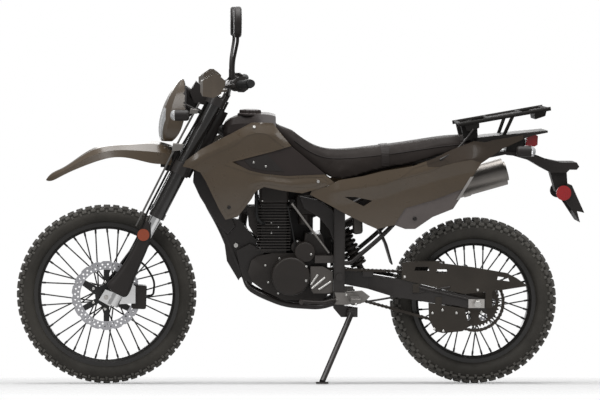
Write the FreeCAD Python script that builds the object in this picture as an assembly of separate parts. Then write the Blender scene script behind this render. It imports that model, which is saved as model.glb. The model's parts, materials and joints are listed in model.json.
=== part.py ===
"""Dual sport motorcycle, parked on its side stand.

The bike is drawn upright: X runs from front to rear, Y from the left side to the right side, Z up.
At the end every piece leans to the left and the origin moves to the middle of the footprint.
All lengths are millimetres and all angles are degrees.
"""
import FreeCAD, Part
import math
import os

V = FreeCAD.Vector

# Stance
step = 10.0
frame_span = 500.0
hub_span = 100.0
post_r = 8.0
small_post_r = 5.0
lean_deg = 7.5
pivot_x = 184.0
pivot_z = 427.0
swingarm_reach = 531.0
fit_gap = 0.3
overrun = 40.0
running_gap = 0.5
sheet = 3.0
panel_wall = 4.0
recess_depth = 1.3

# Steering head and fork, measured along the fork (up) and across it (ahead)
rake_deg = 27.0
steering_lock_deg = 42.0
head_x = -410.0
head_z = 791.0
fork_offset = 35.0
axle_lead = 31.0
fork_half_width = 98.0
outer_tube_r = 28.5
inner_tube_r = 21.5
outer_tube_low = -172.0
outer_tube_top = 344.0
outer_cap_height = 5.0
lower_clamp_low = 15.0
lower_clamp_height = 46.0
upper_clamp_low = 312.0
upper_clamp_height = 32.0
clamp_wall = 9.0
stem_r = 15.0
head_tube_r = 31.0
head_tube_gap = 6.0
carrier_r = 27.0
carrier_height = 95.0
carrier_width = 44.0
axle_collar_r = 13.0
hub_end_gap = 3.0
guard_r = 37.0
guard_lead = 14.0
guard_top_gap = 12.0
guard_inner_side = 28.0
reflector_r = 23.0
reflector_depth = 7.0
reflector_rise = 280.0

# Wheels
front_tyre_r = 347.0
front_tyre_width = 84.0
front_seat_r = 267.0
front_rim_width = 50.0
rear_tyre_r = 324.0
rear_tyre_width = 112.0
rear_seat_r = 228.6
rear_rim_width = 62.0
rim_flange = 14.0
rim_depth = 13.0
rim_wall = 4.0
tyre_wall = 11.0
lug_height = 13.0
front_lug_rows = 60
rear_lug_rows = 57
spoke_count = 36
spoke_r = 2.0
spoke_seat = 0.06981317007977318
spoke_stagger = 0.08726646259971647
hub_barrel_r = 24.0
hub_flange_r = 36.0
hub_flange_wall = 6.0
front_hub_half = 34.0
rear_hub_half = 44.0
axle_r = 8.5
axle_nut_r = 15.0
axle_nut_depth = 14.0

# Brakes
front_disc_r = 134.0
front_disc_band = 33.0
front_disc_offset = 55.0
rear_disc_r = 110.0
rear_disc_band = 28.0
rear_disc_offset = 62.0
disc_wall = 4.0
disc_arms = 6
disc_arm_width = 22.0
disc_hole_r = 3.6
disc_wave_r = 13.0
disc_wave_gap = 9.0
caliper_length = 92.0
caliper_height = 56.0
caliper_wall = 19.0
caliper_slot = 15.0
hose_r = 4.0

# Swingarm and final drive
arm_wall = 28.0
arm_front_height = 60.0
arm_mid_height = 74.0
arm_rear_height = 48.0
arm_front_inner = 34.0
arm_rear_inner = 88.0
arm_tail = 40.0
arm_bend_start = 115.0
arm_bend_end = 215.0
arm_bridge_reach = 95.0
arm_bridge_depth = 56.0
adjuster_length = 62.0
adjuster_height = 34.0
adjuster_wall = 5.0
chain_line = 73.0
chain_width = 14.0
chain_height = 13.0
chain_pitch = 15.9
link_waist = 2.2
front_sprocket_r = 27.0
front_sprocket_lead = 62.0
front_sprocket_drop = 12.0
rear_sprocket_r = 97.0
rear_sprocket_wall = 6.0
sprocket_teeth = 42
tooth_height = 7.0
sprocket_gap = 6.0
shock_eye_r = 14.0
guard_length = 489.0
guard_height = 124.0
guard_lip = 46.0
guard_tab_width = 26.0
guard_low_tab = 36.0
lower_guard_length = 160.0
lower_guard_height = 122.0
shock_bar_rise = 225.0
shock_bar_r = 12.0
shock_r = 32.0
coil_r = 7.0
coil_count = 7
can_r = 17.0
can_length = 66.0

# Main frame
tube_r = 20.0
cradle_r = 11.0
rail_r = 12.5
rail_end_gap = 20.0
brace_share = 0.425
brace_lift = 3.225
rail_end_rise = 470.0
spar_width = 42.0
spar_wall = 32.0
spar_inner = 87.0
spar_rise = 330.0
spar_drop = 122.0
shroud_mount_lead = 427.0
shroud_mount_rise = 271.0
shroud_mount_half = 112.0
tank_pad_r = 12.0
tank_tunnel_gap = 14.0
pivot_bolt_r = 9.0
pivot_head_r = 14.0
pivot_head_depth = 8.0
pivot_collar_r = 16.0

# Engine
case_half_left = 62.0
case_half_right = 82.0
case_length = 318.0
case_height = 183.0
case_lead = 350.0
case_drop = 98.0
generator_r = 74.0
generator_depth = 56.0
generator_lead = 186.0
starter_r = 39.0
starter_depth = 42.0
starter_lead = 132.0
starter_rise = 92.0
cover_edge = 9.0
case_ear_length = 72.0
case_ear_height = 28.0
cylinder_length = 128.0
cylinder_width = 116.0
cylinder_rise = 190.0
cylinder_low = 85.3
cylinder_lead = 250.0
starter_motor_r = 25.0
carb_lead = 129.0
carb_rise = 270.0
carb_length = 70.0
carb_width = 66.0
carb_height = 78.0
bowl_r = 25.0
bowl_depth = 38.0
boot_r = 24.0
hanger_inner = 13.0
hanger_wall = 6.0
engine_hose_r = 6.5
head_block_height = 96.0
fin_wall = 3.0
fin_pitch = 11.0
fin_depth = 15.0
cover_round = 12.0

# Exhaust
pipe_r = 17.0
muffler_r = 54.0
muffler_y = 152.0
muffler_front_reach = 215.0
muffler_front_rise = 262.0
muffler_length = 470.0
muffler_slope_deg = 16.0

# Tank, seat and panels
tank_lead = 446.0
tank_length = 330.0
tank_low = 455.0
tank_height = 178.0
tank_half_width = 122.0
cap_r = 46.0
cap_height = 24.0
cap_lead = 342.0
shroud_lead = 603.0
shroud_low = 223.0
shroud_length = 584.0
shroud_height = 370.0
shroud_half_width = 190.0
seat_lead = 244.0
seat_length = 757.0
seat_low = 363.0
seat_height = 231.0
seat_half_width = 124.0
seat_tank_gap = 9.0
side_lead = 116.0
side_low = 186.0
side_length = 822.0
side_height = 361.0
side_half_width = 168.0
cover_lead = 210.0
cover_low = 182.0
cover_length = 272.0
cover_height = 163.0

# Tail
tail_gap = 7.0
tail_lead = seat_length - seat_lead + tail_gap
tail_length = 432.0
tail_low = 399.0
tail_height = 170.0
tail_half_width = 90.0
fender_half_width = 62.0
plate_width = 150.0
plate_wall = 5.0
plate_hole_drop = 24.0
plate_hole_r = 3.5
plate_hole_pitch = 100.0
lamp_half_width = 58.0
signal_r = 21.0
signal_length = 56.0
signal_stalk_r = 7.0
front_signal_half = 165.0
front_signal_drop = 89.0
front_signal_lead = 63.0
rear_signal_half = 160.0
side_reflector_r = 29.0
side_reflector_half = 84.0

# Rack
rack_overlap = 54.0
rack_lead = tail_lead - rack_overlap
rack_length = 344.0
rack_low = 588.0
rack_rise = 62.0
rack_half_width = 112.0
rack_bar = 15.0
rack_bracket_wall = 7.0
rack_plate_wall = 4.0
rack_hole_r = 3.3
rack_hole_pcd = 84.0

# Handlebar and what it carries
bar_r = 11.0
bar_clamp_rise = 374.0
bar_clamp_half = 42.0
bar_bend_half = 190.0
bar_half_length = 402.0
bar_pull = 70.0
bar_lift = 34.0
grip_r = 17.0
grip_length = 122.0
lever_r = 5.0
perch_reach = 62.0
perch_width = 16.0
perch_r = 17.0
lever_lead = 62.0
mirror_half = 305.0
mirror_rise = 222.0
mirror_height = 116.0
mirror_width = 136.0
mirror_wall = 28.0
stem_rod_r = 6.0
handguard_inner = 236.0
handguard_outer = 432.0
handguard_height = 104.0
handguard_depth = 92.0
handguard_lead = 161.0

# Front bodywork
fender_lead = 234.0
fender_rise = 441.0
fender_length = 520.0
fender_height = 152.0
fender_half = 88.0
cowl_low_rise = 133.0
cowl_height = 236.0
cowl_half_width = 108.0
cowl_depth = 92.0
cowl_lead = 10.0
cowl_post_rise = 262.0
cowl_post_r = 6.0
lens_half_width = 76.0
lens_low_share = 0.03
lens_top_share = 0.54

# Stand, pegs and levers
stand_x_reach = 48.0
stand_drop = 135.0
stand_y = 142.0
stand_length = 346.0
stand_forward = 125.0
stand_r = 11.0
stand_foot_r = 24.0
stand_foot_wall = 8.0
peg_x_reach = 58.0
peg_drop = 84.0
peg_length = 92.0
peg_width = 40.0
peg_height = 20.0
peg_inner = 126.0
peg_bracket_wall = 7.0

# Steering and frame axes
rake = math.radians(rake_deg)
along_fork = V(math.sin(rake), 0, math.cos(rake))
ahead_fork = V(-math.cos(rake), 0, math.sin(rake))
head_point = V(head_x, 0, head_z)
pivot = V(pivot_x, 0, pivot_z)
rear_drop = pivot_z - rear_tyre_r
rear_axle = V(pivot_x + math.sqrt(swingarm_reach ** 2 - rear_drop ** 2) + arm_tail / 4, 0, rear_tyre_r)


def steer(along, ahead, y=0.0):
    """Point on the steered assembly, from the steering axis at the head's reference height."""
    return head_point + along_fork * along + ahead_fork * ahead + V(0, y, 0)


axle_along = (front_tyre_r - head_z - ahead_fork.z * (fork_offset + axle_lead)) / along_fork.z
front_axle = steer(axle_along, fork_offset + axle_lead)


def from_pivot(back, up, y=0.0):
    """Point on the frame, measured from the swingarm pivot."""
    return pivot + V(back, y, up)


def frame_at(back_share, up_share, y=0.0):
    """Point on the frame, in shares of the frame's span from the swingarm pivot."""
    return from_pivot(frame_span * back_share, frame_span * up_share, y)


def hub_step(back_share, up_share):
    """Step in the side view, in shares of the hub's span."""
    return V(hub_span * back_share, 0, hub_span * up_share)


def rod(start, end, radius):
    """Round bar between two points."""
    line = end - start
    return Part.makeCylinder(radius, line.Length, start, line)


def tube(start, end, outer, inner):
    """Round tube between two points."""
    return rod(start, end, outer).cut(rod(start, end, inner))


def bent_bar(points, radius, bend_share=0.45):
    """Round bar along straight runs joined by tangent arcs."""
    edges = []
    last = points[0]
    for before, corner, after in zip(points, points[1:], points[2:]):
        come = (corner - before)
        go = (after - corner)
        reach = min(come.Length, go.Length) * bend_share
        come.normalize()
        go.normalize()
        first = corner - come * reach
        second = corner + go * reach
        turn = come.getAngle(go)
        side = (go - come)
        side.normalize()
        radius_bend = reach / math.tan(turn / 2)
        middle = corner + side * (radius_bend / math.cos(turn / 2) - radius_bend)
        edges.append(Part.LineSegment(last, first).toShape())
        edges.append(Part.Arc(first, middle, second).toShape())
        last = second
    edges.append(Part.LineSegment(last, points[-1]).toShape())
    path = Part.Wire(edges)
    profile = Part.Wire([Part.makeCircle(radius, points[0], points[1] - points[0])])
    return path.makePipeShell([profile], True, False)


def fuse(shapes):
    """One shape of all the given ones, with shared faces merged."""
    whole = shapes[0].multiFuse(shapes[1:]) if len(shapes) > 1 else shapes[0]
    return whole.removeSplitter()


def both_sides(shape):
    """The left piece and its mirror image on the right, as two solids."""
    other = shape.mirror(V(0, 0, 0), V(0, 1, 0))
    return Part.makeCompound(list(shape.Solids) + list(other.Solids))


def side_points(shares, corner, length, height):
    """Side view outline: shares of a box whose front lower corner is given."""
    return [corner + V(length * a, 0, height * b) for a, b in shares]


def slab(points, y_low, y_high):
    """Plate cut to a closed side view outline, between two distances across the bike."""
    closed = [V(p.x, y_low, p.z) for p in points]
    face = Part.Face(Part.makePolygon(closed + closed[:1]))
    return face.extrude(V(0, y_high - y_low, 0))


def plan_slab(points, z_low, z_high):
    """Plate cut to a closed outline seen from above, between two heights."""
    closed = [V(p.x, p.y, z_low) for p in points]
    face = Part.Face(Part.makePolygon(closed + closed[:1]))
    return face.extrude(V(0, 0, z_high - z_low))


def turned(profile, centre):
    """Body of revolution about the cross axis through centre; profile rows are across, radius."""
    points = [centre + V(0, y, r) for y, r in profile]
    face = Part.Face(Part.makePolygon(points + points[:1]))
    return face.revolve(centre, V(0, 1, 0), 360)


def disc(centre, radius, y_low, y_high, hole=0.0):
    """Flat round plate across the bike, with a hole if one is given."""
    start = V(centre.x, y_low, centre.z)
    plate = Part.makeCylinder(radius, y_high - y_low, start, V(0, 1, 0))
    if hole:
        plate = plate.cut(Part.makeCylinder(hole, y_high - y_low, start, V(0, 1, 0)))
    return plate


def loft(sections):
    """Solid through closed sections of equally many points, creased along the points."""
    wires = [Part.makePolygon(points + points[:1]) for points in sections]
    return Part.makeLoft(wires, True, False)


def bulged_face(corner, length, height, width, width_shares):
    """Curved side surface: rows of width shares run upwards, each from front to rear."""
    rows = len(width_shares)
    columns = len(width_shares[0])
    grid = []
    for j in range(columns):
        x = corner.x + length * j / (columns - 1)
        grid.append([V(x, -width * width_shares[i][j], corner.z + height * i / (rows - 1))
                     for i in range(rows)])
    surface = Part.BSplineSurface()
    surface.interpolate(grid)
    return surface.toShape()


def side_skin(face, outline, inset=0.0, wall=panel_wall):
    """Left panel: the part of a curved wall inside a side view outline."""
    moved = face.copy()
    moved.translate(V(0, inset, 0))
    wall_solid = moved.extrude(V(0, wall, 0))
    window = slab(outline, -overrun * 10, 0)
    return window.common(wall_solid).Solids[0]


def boss(face, x, z, y_seat, radius, inset=0.0):
    """Post behind a panel, from the panel's wall to a seat at a distance left of the middle."""
    moved = face.copy()
    moved.translate(V(0, inset + panel_wall / 2, 0))
    room = moved.extrude(V(0, overrun * 10, 0))
    post = Part.makeCylinder(radius, overrun * 10, V(x, -y_seat, z), V(0, -1, 0))
    return post.common(room)


def frame_tubes():
    """Head tube, spine and down tube."""
    low = lower_clamp_low + lower_clamp_height + head_tube_gap
    top = upper_clamp_low - head_tube_gap
    head = rod(steer(low, 0), steer(top, 0), head_tube_r)
    down = bent_bar([steer(low + head_tube_r * 1.6, -head_tube_r / 3), frame_at(-1.03, 0.604),
                     frame_at(-0.892, 0.366),
                     down_tube_end()], tube_r)
    return [head, bent_bar(spine_route(), tube_r), down]


def spine_route():
    """Corners of the spine tube from the head tube to the link rods."""
    return [steer(upper_clamp_low - head_tube_gap - head_tube_r * 2, 0), frame_at(-0.6, 0.88), spine_end()]


def steer_spine_pad():
    """Foot of the tank's pad on the spine."""
    start, bend, _ = spine_route()
    return start + (bend - start) * 0.6


def spine_end():
    """Rear end of the spine tube."""
    return from_pivot(-step * 7, spar_rise + step * 0.5)


def down_tube_end():
    """Lower end of the down tube."""
    return frame_at(-0.736, -0.02)


def frame_side(side):
    """Spar, upper link and cradle tube of one side."""
    spar_y = side * (spar_inner + spar_wall / 2)
    y_low = min(side * spar_inner, side * (spar_inner + spar_wall))
    spar = Part.makeBox(spar_width, spar_wall, spar_rise + spar_drop,
                        from_pivot(-spar_width / 2, -spar_drop, y_low))
    link = rod(spine_end(), from_pivot(0, spar_rise - tube_r, spar_y), rail_r + step * 0.4)
    cradle = [down_tube_end() + V(0, side * cradle_r, tube_r), frame_at(-0.696, -0.1, side * cradle_r * 4),
              frame_at(-0.6, -0.154, side * cradle_r * 5), frame_at(-0.41, -0.23, side * cradle_r * 6),
              frame_at(-0.14, -0.244, side * spar_inner * 0.85),
              from_pivot(-step * 1, -spar_drop + cradle_r * 2, spar_y)]
    return [spar, link, bent_bar(cradle, cradle_r)]


hanger_shares = [(-0.91, 0.46), (-0.76, 0.42), (-0.63, 0.26), (-0.63, 0.18), (-0.72, 0.125), (-0.72, 0.03),
                 (-0.77, -0.05), (-0.86, 0.10)]


def hanger_plates():
    """Plates from the down tube towards the engine, one each side."""
    points = [frame_at(a, b) for a, b in hanger_shares]
    bolt = disc(frame_at(-0.78, 0.21), pivot_bolt_r * 1.4, -hanger_inner - hanger_wall * 2,
                hanger_inner + hanger_wall * 2)
    left = slab(points, -hanger_inner - hanger_wall, -hanger_inner)
    right = slab(points, hanger_inner, hanger_inner + hanger_wall)
    return [left, right, bolt]


def shroud_mount():
    """Gusset and cross rod that carry the shrouds' lower posts."""
    gusset = slab([frame_at(-1.0, 0.584), frame_at(-0.836, 0.568), frame_at(-0.83, 0.52),
                   frame_at(-0.96, 0.47)],
                  -cradle_r / 2, cradle_r / 2)
    half = shroud_mount_half
    cross = rod(from_pivot(-shroud_mount_lead, shroud_mount_rise, -half),
                from_pivot(-shroud_mount_lead, shroud_mount_rise, half), cradle_r * 0.8)
    return [gusset, cross]


def main_frame():
    """Head tube, spine, down tube, cradle, pivot spars and the mounts on them."""
    shapes = frame_tubes() + frame_side(-1) + frame_side(1) + shroud_mount()
    shapes.append(rod(from_pivot(0, shock_bar_rise, -spar_inner), from_pivot(0, shock_bar_rise, spar_inner),
                      shock_bar_r))
    shapes += stand_bracket() + hanger_plates()
    lowered = fuel_tank()
    lowered.translate(V(0, 0, -fit_gap))
    foot = steer_spine_pad()
    pad = Part.makeCylinder(tank_pad_r, overrun * 3, foot).cut(lowered)
    shapes.append(min(pad.Solids, key=lambda s: s.CenterOfMass.z))
    frame = fuse(shapes)
    bore = rod(steer(0, 0), steer(upper_clamp_low + overrun, 0), stem_r + running_gap)
    bolt_hole = rod(frame_at(0.0, 0.0, -overrun * 5), frame_at(0.0, 0.0, overrun * 5), pivot_bolt_r)
    return frame.cut(bore).cut(bolt_hole)


def rail_route(side):
    """Rear rail from the spar to the tail."""
    y = side * (spar_inner - rail_r)
    spar_y = side * (spar_inner + spar_wall / 2)
    start = spar_width / 2 + fit_gap
    return [from_pivot(start, spar_rise - step * 5, spar_y),
            from_pivot(start + step * 2.8, spar_rise - step * 5, spar_y),
            frame_at(0.236, 0.624, y), frame_at(0.6, 0.734, y),
            from_pivot(tail_lead - rail_end_gap, rail_end_rise, y)]


def rail_stretch(side, share):
    """Point of the rear rail's middle line, as a share of its rear stretch."""
    start, end = rail_route(side)[-2:]
    return start + (end - start) * share


def rail_height(back_share):
    """Height of the rear rail's middle line over its rear stretch."""
    start, end = rail_route(-1)[-2:]
    return start.z + (end.z - start.z) * (pivot.x + frame_span * back_share - start.x) / (end.x - start.x)


def subframe_tail_bar(side):
    """End of the rearmost cross bar."""
    return from_pivot(tail_lead - rail_end_gap - rail_r / 2, rail_end_rise - sheet,
                      side * (spar_inner - rail_r))


def subframe():
    """Rear rails with their lower braces, cross bars and seat rests."""
    shapes = []
    rail_y = spar_inner - rail_r
    start = spar_width / 2 + fit_gap
    for side in (-1, 1):
        spar_y = side * (spar_inner + spar_wall / 2)
        shapes.append(bent_bar(rail_route(side), rail_r))
        brace = [from_pivot(start, step * 5.2, spar_y), from_pivot(start + step * 2.2, step * 5.2, spar_y),
                 frame_at(0.38, 0.35, side * (spar_inner + step * 0.8)),
                 rail_stretch(side, brace_share) + V(0, 0, brace_lift)]
        shapes.append(bent_bar(brace, rail_r * 0.7))
    for back, up in ((0.26, 0.632), (0.6, 0.734)):
        shapes.append(rod(frame_at(back, up, -rail_y), frame_at(back, up, rail_y), rail_r * 0.8))
    shapes.append(rod(subframe_tail_bar(-1), subframe_tail_bar(1), rail_r * 0.8))
    lowered = seat()
    lowered.translate(V(0, 0, -fit_gap))
    for foot in (frame_at(0.6, 0.734), subframe_tail_bar(0)):
        rest = Part.makeCylinder(rail_r, overrun * 3, foot)
        shapes.append(min(rest.cut(lowered).Solids, key=lambda s: s.CenterOfMass.z))
    return fuse(shapes)


def arm_line(back):
    """Height of the swingarm's middle line behind the pivot."""
    return pivot.z - rear_drop * back / (rear_axle.x - pivot.x)


def swingarm_arm():
    """Left arm: its side view cut to its shape seen from above."""
    reach = rear_axle.x - pivot.x
    stations = [(0, arm_front_height), (arm_bend_start, arm_front_height), (arm_bend_end, arm_mid_height),
                (reach - overrun * 2, arm_rear_height), (reach + arm_tail, arm_rear_height)]
    upper = [V(pivot.x + b, 0, arm_line(b) + h / 2) for b, h in stations]
    lower = [V(pivot.x + b, 0, arm_line(b) - h / 2) for b, h in reversed(stations)]
    front_r = arm_front_height / 2
    plan = [(-front_r, arm_front_inner), (arm_bend_start, arm_front_inner + step * 0.4),
            (arm_bend_end, arm_rear_inner),
            (reach + arm_tail, arm_rear_inner)]
    inner = [V(pivot.x + b, -y, 0) for b, y in plan]
    outer = [V(pivot.x + b, -y - arm_wall, 0) for b, y in reversed(plan)]
    beam = slab(upper + lower, -overrun * 4, 0).fuse(disc(pivot, front_r, -overrun * 4, 0))
    arm = beam.common(plan_slab(inner + outer, 0, overrun * 20))
    slot = slab([rear_axle + V(-step * 2.2, 0, axle_r), rear_axle + V(step * 2.2, 0, axle_r),
                 rear_axle + V(step * 2.2, 0, -axle_r), rear_axle + V(-step * 2.2, 0, -axle_r)],
                 -overrun * 4, 0)
    return arm.cut(slot)


def swingarm():
    """Two tapered arms joined by a bridge, with the pivot bolt and its collars."""
    arm = swingarm_arm()
    right = arm.mirror(V(0, 0, 0), V(0, 1, 0))
    bridge_z = arm_line(arm_bridge_reach)
    bridge_half = arm_front_height * 0.3
    bridge = Part.makeBox(arm_bridge_depth, arm_front_inner * 2 + step * 2, bridge_half * 2,
                          V(pivot.x + arm_bridge_reach - arm_bridge_depth / 2, -arm_front_inner - step * 1,
                            bridge_z - bridge_half))
    face = spar_inner + spar_wall + fit_gap
    lowered = chain()
    lowered.translate(V(0, 0, -fit_gap))
    corner = V(pivot.x + arm_bridge_reach, -chain_line - chain_width * 0.45,
               arm_line(arm_bridge_reach) + arm_front_height / 4)
    slider = Part.makeBox(overrun, chain_width * 0.9, overrun, corner)
    slider = min(slider.cut(lowered).Solids, key=lambda s: s.CenterOfMass.z)
    shapes = [arm, right, bridge, slider, rod(frame_at(0.0, 0.0, -face), frame_at(0.0, 0.0, face),
                                              pivot_bolt_r - fit_gap)]
    for side in (-1, 1):
        shapes.append(rod(frame_at(0.0, 0.0, side * (arm_front_inner + step * 0.5)),
                          frame_at(0.0, 0.0, side * (spar_inner - fit_gap)), pivot_collar_r))
        shapes.append(rod(frame_at(0.0, 0.0, side * face),
                          frame_at(0.0, 0.0, side * (face + pivot_head_depth)),
                          pivot_head_r))
    return fuse(shapes)


def rear_axle_set():
    """Axle with its collars, nuts and the adjuster blocks on the arms' outer faces."""
    outer = arm_rear_inner + arm_wall + fit_gap
    half = outer + adjuster_wall + axle_nut_depth
    shapes = [rod(rear_axle + V(0, -half, 0), rear_axle + V(0, half, 0), axle_r - running_gap)]
    for side in (-1, 1):
        y_plate = outer if side > 0 else -outer - adjuster_wall
        shapes.append(Part.makeBox(adjuster_length, adjuster_wall, adjuster_height,
                                   rear_axle + V(-adjuster_length / 2, y_plate, -adjuster_height / 2)))
        nut = rear_axle + V(0, side * (outer + adjuster_wall), 0)
        shapes.append(rod(nut, nut + V(0, side * axle_nut_depth * 0.7, 0), axle_nut_r))
        shapes.append(rod(rear_axle + V(0, side * (rear_hub_end() + hub_end_gap), 0),
                          rear_axle + V(0, side * (arm_rear_inner - fit_gap), 0), axle_collar_r))
    return fuse(shapes)


def rear_hub_end():
    """Half-length of the rear hub's sleeve."""
    return arm_rear_inner - hub_end_gap * 2.5


def front_hub_end():
    """Half-length of the front hub's sleeve."""
    return fork_half_width - carrier_r - hub_end_gap


def rear_shock():
    """Damper with its spring and remote reservoir, between the bridge and the spars' cross bar."""
    bridge_top = arm_line(arm_bridge_reach) + arm_front_height * 0.3
    base = V(pivot.x + arm_bridge_reach, 0, bridge_top + shock_eye_r + fit_gap)
    top = from_pivot(0, shock_bar_rise - shock_bar_r - shock_eye_r - fit_gap)
    axis = top - base
    damper_r = shock_r - coil_r * 2
    shapes = [rod(base, top, shock_eye_r * 0.9), rod(base + axis * 0.14, base + axis * 0.82,
                                                     damper_r + running_gap),
              rod(base + axis * 0.12, base + axis * 0.16, shock_r),
              rod(base + axis * 0.80, base + axis * 0.84, shock_r)]
    for i in range(coil_count):
        at = base + axis * (0.20 + 0.56 * i / (coil_count - 1))
        shapes.append(Part.makeTorus(damper_r + coil_r, coil_r + running_gap, at, axis))
    for eye in (base, top):
        shapes.append(rod(eye - V(0, shock_r * 0.6, 0), eye + V(0, shock_r * 0.6, 0), shock_eye_r))
    can_base = frame_at(0.144, 0.326, -step * 6.2)
    can = rod(can_base, can_base + V(0, 0, can_length), can_r)
    neck = rod(can_base + V(0, 0, can_length * 0.25), base + axis * 0.75, can_r * 0.5)
    return fuse(shapes + [can, neck])


def case_outline():
    """Side view of the crankcase."""
    shares = [(0.0, 0.60), (0.04, 0.84), (0.12, 0.94), (0.30, 1.0), (0.66, 1.0), (0.70, 1.42), (0.90, 1.40),
              (0.965, 1.0), (0.97, 0.42), (0.97, 0.10), (0.90, 0.0), (0.44, 0.0), (0.20, 0.20), (0.06, 0.38)]
    return side_points(shares, from_pivot(-case_lead, -case_drop), case_length, case_height)


def round_cover(centre, radius, y_in, y_out, edge):
    """Round cover on the case's side with a rounded outer edge."""
    cover = disc(centre, radius, min(y_in, y_out), max(y_in, y_out))
    rim_edge = [e for e in cover.Edges if e.Curve.TypeId == 'Part::GeomCircle'
                and abs(e.Curve.Center.y - y_out) < fit_gap]
    return cover.makeFillet(edge, rim_edge)


def crankcase():
    """Engine case with its round covers and the ear that rests on the spars."""
    case = slab(case_outline(), -case_half_left, case_half_right)
    generator = round_cover(from_pivot(-generator_lead, 0), generator_r, -case_half_left,
                            -case_half_left - generator_depth, cover_edge)
    starter = round_cover(from_pivot(-starter_lead, starter_rise), starter_r, -case_half_left + cover_edge,
                          -case_half_left - starter_depth, cover_edge / 2)
    clutch = round_cover(from_pivot(-generator_lead, 0), generator_r, case_half_right,
                         case_half_right + generator_depth * 0.6, cover_edge)
    ear_low = case_height - case_drop - case_ear_height * 1.2
    ear = Part.makeBox(case_ear_length, spar_inner * 2 + spar_wall, case_ear_height,
                       from_pivot(-spar_width / 2 - fit_gap - case_ear_length, ear_low,
                                  -spar_inner - spar_wall / 2))
    motor_rise = case_height - case_drop + starter_motor_r * 0.9
    motor = rod(frame_at(-0.314, 0, -case_half_left * 0.9) + V(0, 0, motor_rise),
                frame_at(-0.314, 0, case_half_right * 0.7) + V(0, 0, motor_rise), starter_motor_r)
    return fuse([case, generator, starter, clutch, ear, motor])


def sprocket_cover():
    """Cover over the front sprocket, on two posts from the case."""
    shares = [(0.0, 0.20), (0.0, 1.0), (0.55, 1.0), (1.0, 0.80), (1.0, 0.05), (0.72, 0.0), (0.12, 0.0)]
    corner = from_pivot(-front_sprocket_lead - step * 4.8, -step * 6.6)
    y_in = -chain_line - chain_width / 2 - sprocket_gap
    plate = slab(side_points(shares, corner, step * 8.6, step * 10.4), y_in - step * 1.8, y_in)
    shapes = [plate]
    for rise in (step * 1, step * 9.4):
        shapes.append(rod(corner + V(step * 0.8, y_in, rise),
                          corner + V(step * 0.8, -case_half_left - fit_gap, rise), step * 0.5))
    return fuse(shapes)


def cylinder():
    """Finned cylinder and head with the camshaft cover."""
    corner = from_pivot(-cylinder_lead - cylinder_length / 2, cylinder_low, -cylinder_width / 2)
    inner = V(fin_depth, fin_depth, 0)
    core = Part.makeBox(cylinder_length - fin_depth * 2, cylinder_width - fin_depth * 2,
                        cylinder_rise, corner + inner)
    shapes = [core]
    count = int((cylinder_rise - fin_pitch) / fin_pitch)
    for i in range(count):
        shapes.append(Part.makeBox(cylinder_length, cylinder_width, fin_wall,
                                   corner + V(0, 0, fin_pitch * (i + 1))))
    cover = Part.makeBox(cylinder_length - fin_depth, cylinder_width - fin_depth, head_block_height,
                         corner + V(fin_depth / 2, fin_depth / 2, cylinder_rise))
    cover = cover.makeFillet(cover_round, cover.Edges)
    shapes.append(cover)
    return fuse(shapes)


def carburettor():
    """Carburettor on its stub behind the cylinder, with the float bowl below and the slide's cap above."""
    middle = from_pivot(-carb_lead, carb_rise)
    stub_at = from_pivot(-cylinder_lead + cylinder_length / 2 + fit_gap, carb_rise)
    body = Part.makeBox(carb_length, carb_width, carb_height,
                        middle + V(-carb_length / 2, -carb_width / 2, -carb_height / 2))
    body = body.makeFillet(cover_edge, body.Edges)
    bowl = rod(middle - V(0, 0, carb_height / 2 + bowl_depth), middle, bowl_r)
    cap = rod(middle, middle + V(0, 0, carb_height / 2 + cover_edge), bowl_r * 0.8)
    knob = rod(middle - V(0, carb_width / 2 + cover_edge * 1.5, 0), middle, small_post_r * 2)
    return fuse([body, bowl, cap, knob, rod(stub_at, middle, boot_r * 0.8)])


hose_shares = [(-0.628, 0.96, -0.09), (-0.640, 0.68, -0.138), (-0.636, 0.45, -0.150), (-0.60, 0.405, -0.146),
               (-0.56, 0.402, -0.09)]


def engine_hose():
    """Hose from the tank's underside to the side of the cylinder."""
    hose = bent_bar([frame_at(a, b, frame_span * c) for a, b, c in hose_shares], engine_hose_r)
    tank = fuel_tank()
    tank.translate(V(0, 0, -fit_gap))
    engine = cylinder()
    engine.translate(V(0, -fit_gap, 0))
    return max(hose.cut(tank).cut(engine).Solids, key=lambda s: s.Volume)


def muffler_axis():
    """Front end and direction of the muffler."""
    slope = math.radians(muffler_slope_deg)
    start = from_pivot(muffler_front_reach, muffler_front_rise, muffler_y)
    return start, V(math.cos(slope), 0, math.sin(slope))


def exhaust_pipe():
    """Header from the head's front, round the engine's right side, up to the muffler."""
    start, line = muffler_axis()
    first = from_pivot(-cylinder_lead - cylinder_length / 2 - fit_gap,
                       cylinder_low + cylinder_rise - step * 2.4, step * 2)
    route = [first, first + V(-step * 4.8, 0, 0), first + V(-step * 6, step * 6, -step * 10),
             frame_at(-0.5, 0.216, step * 13.5),
             frame_at(-0.04, 0.29, step * 14), start - line * (step * 6), start]
    return bent_bar(route, pipe_r, 0.42)


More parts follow.
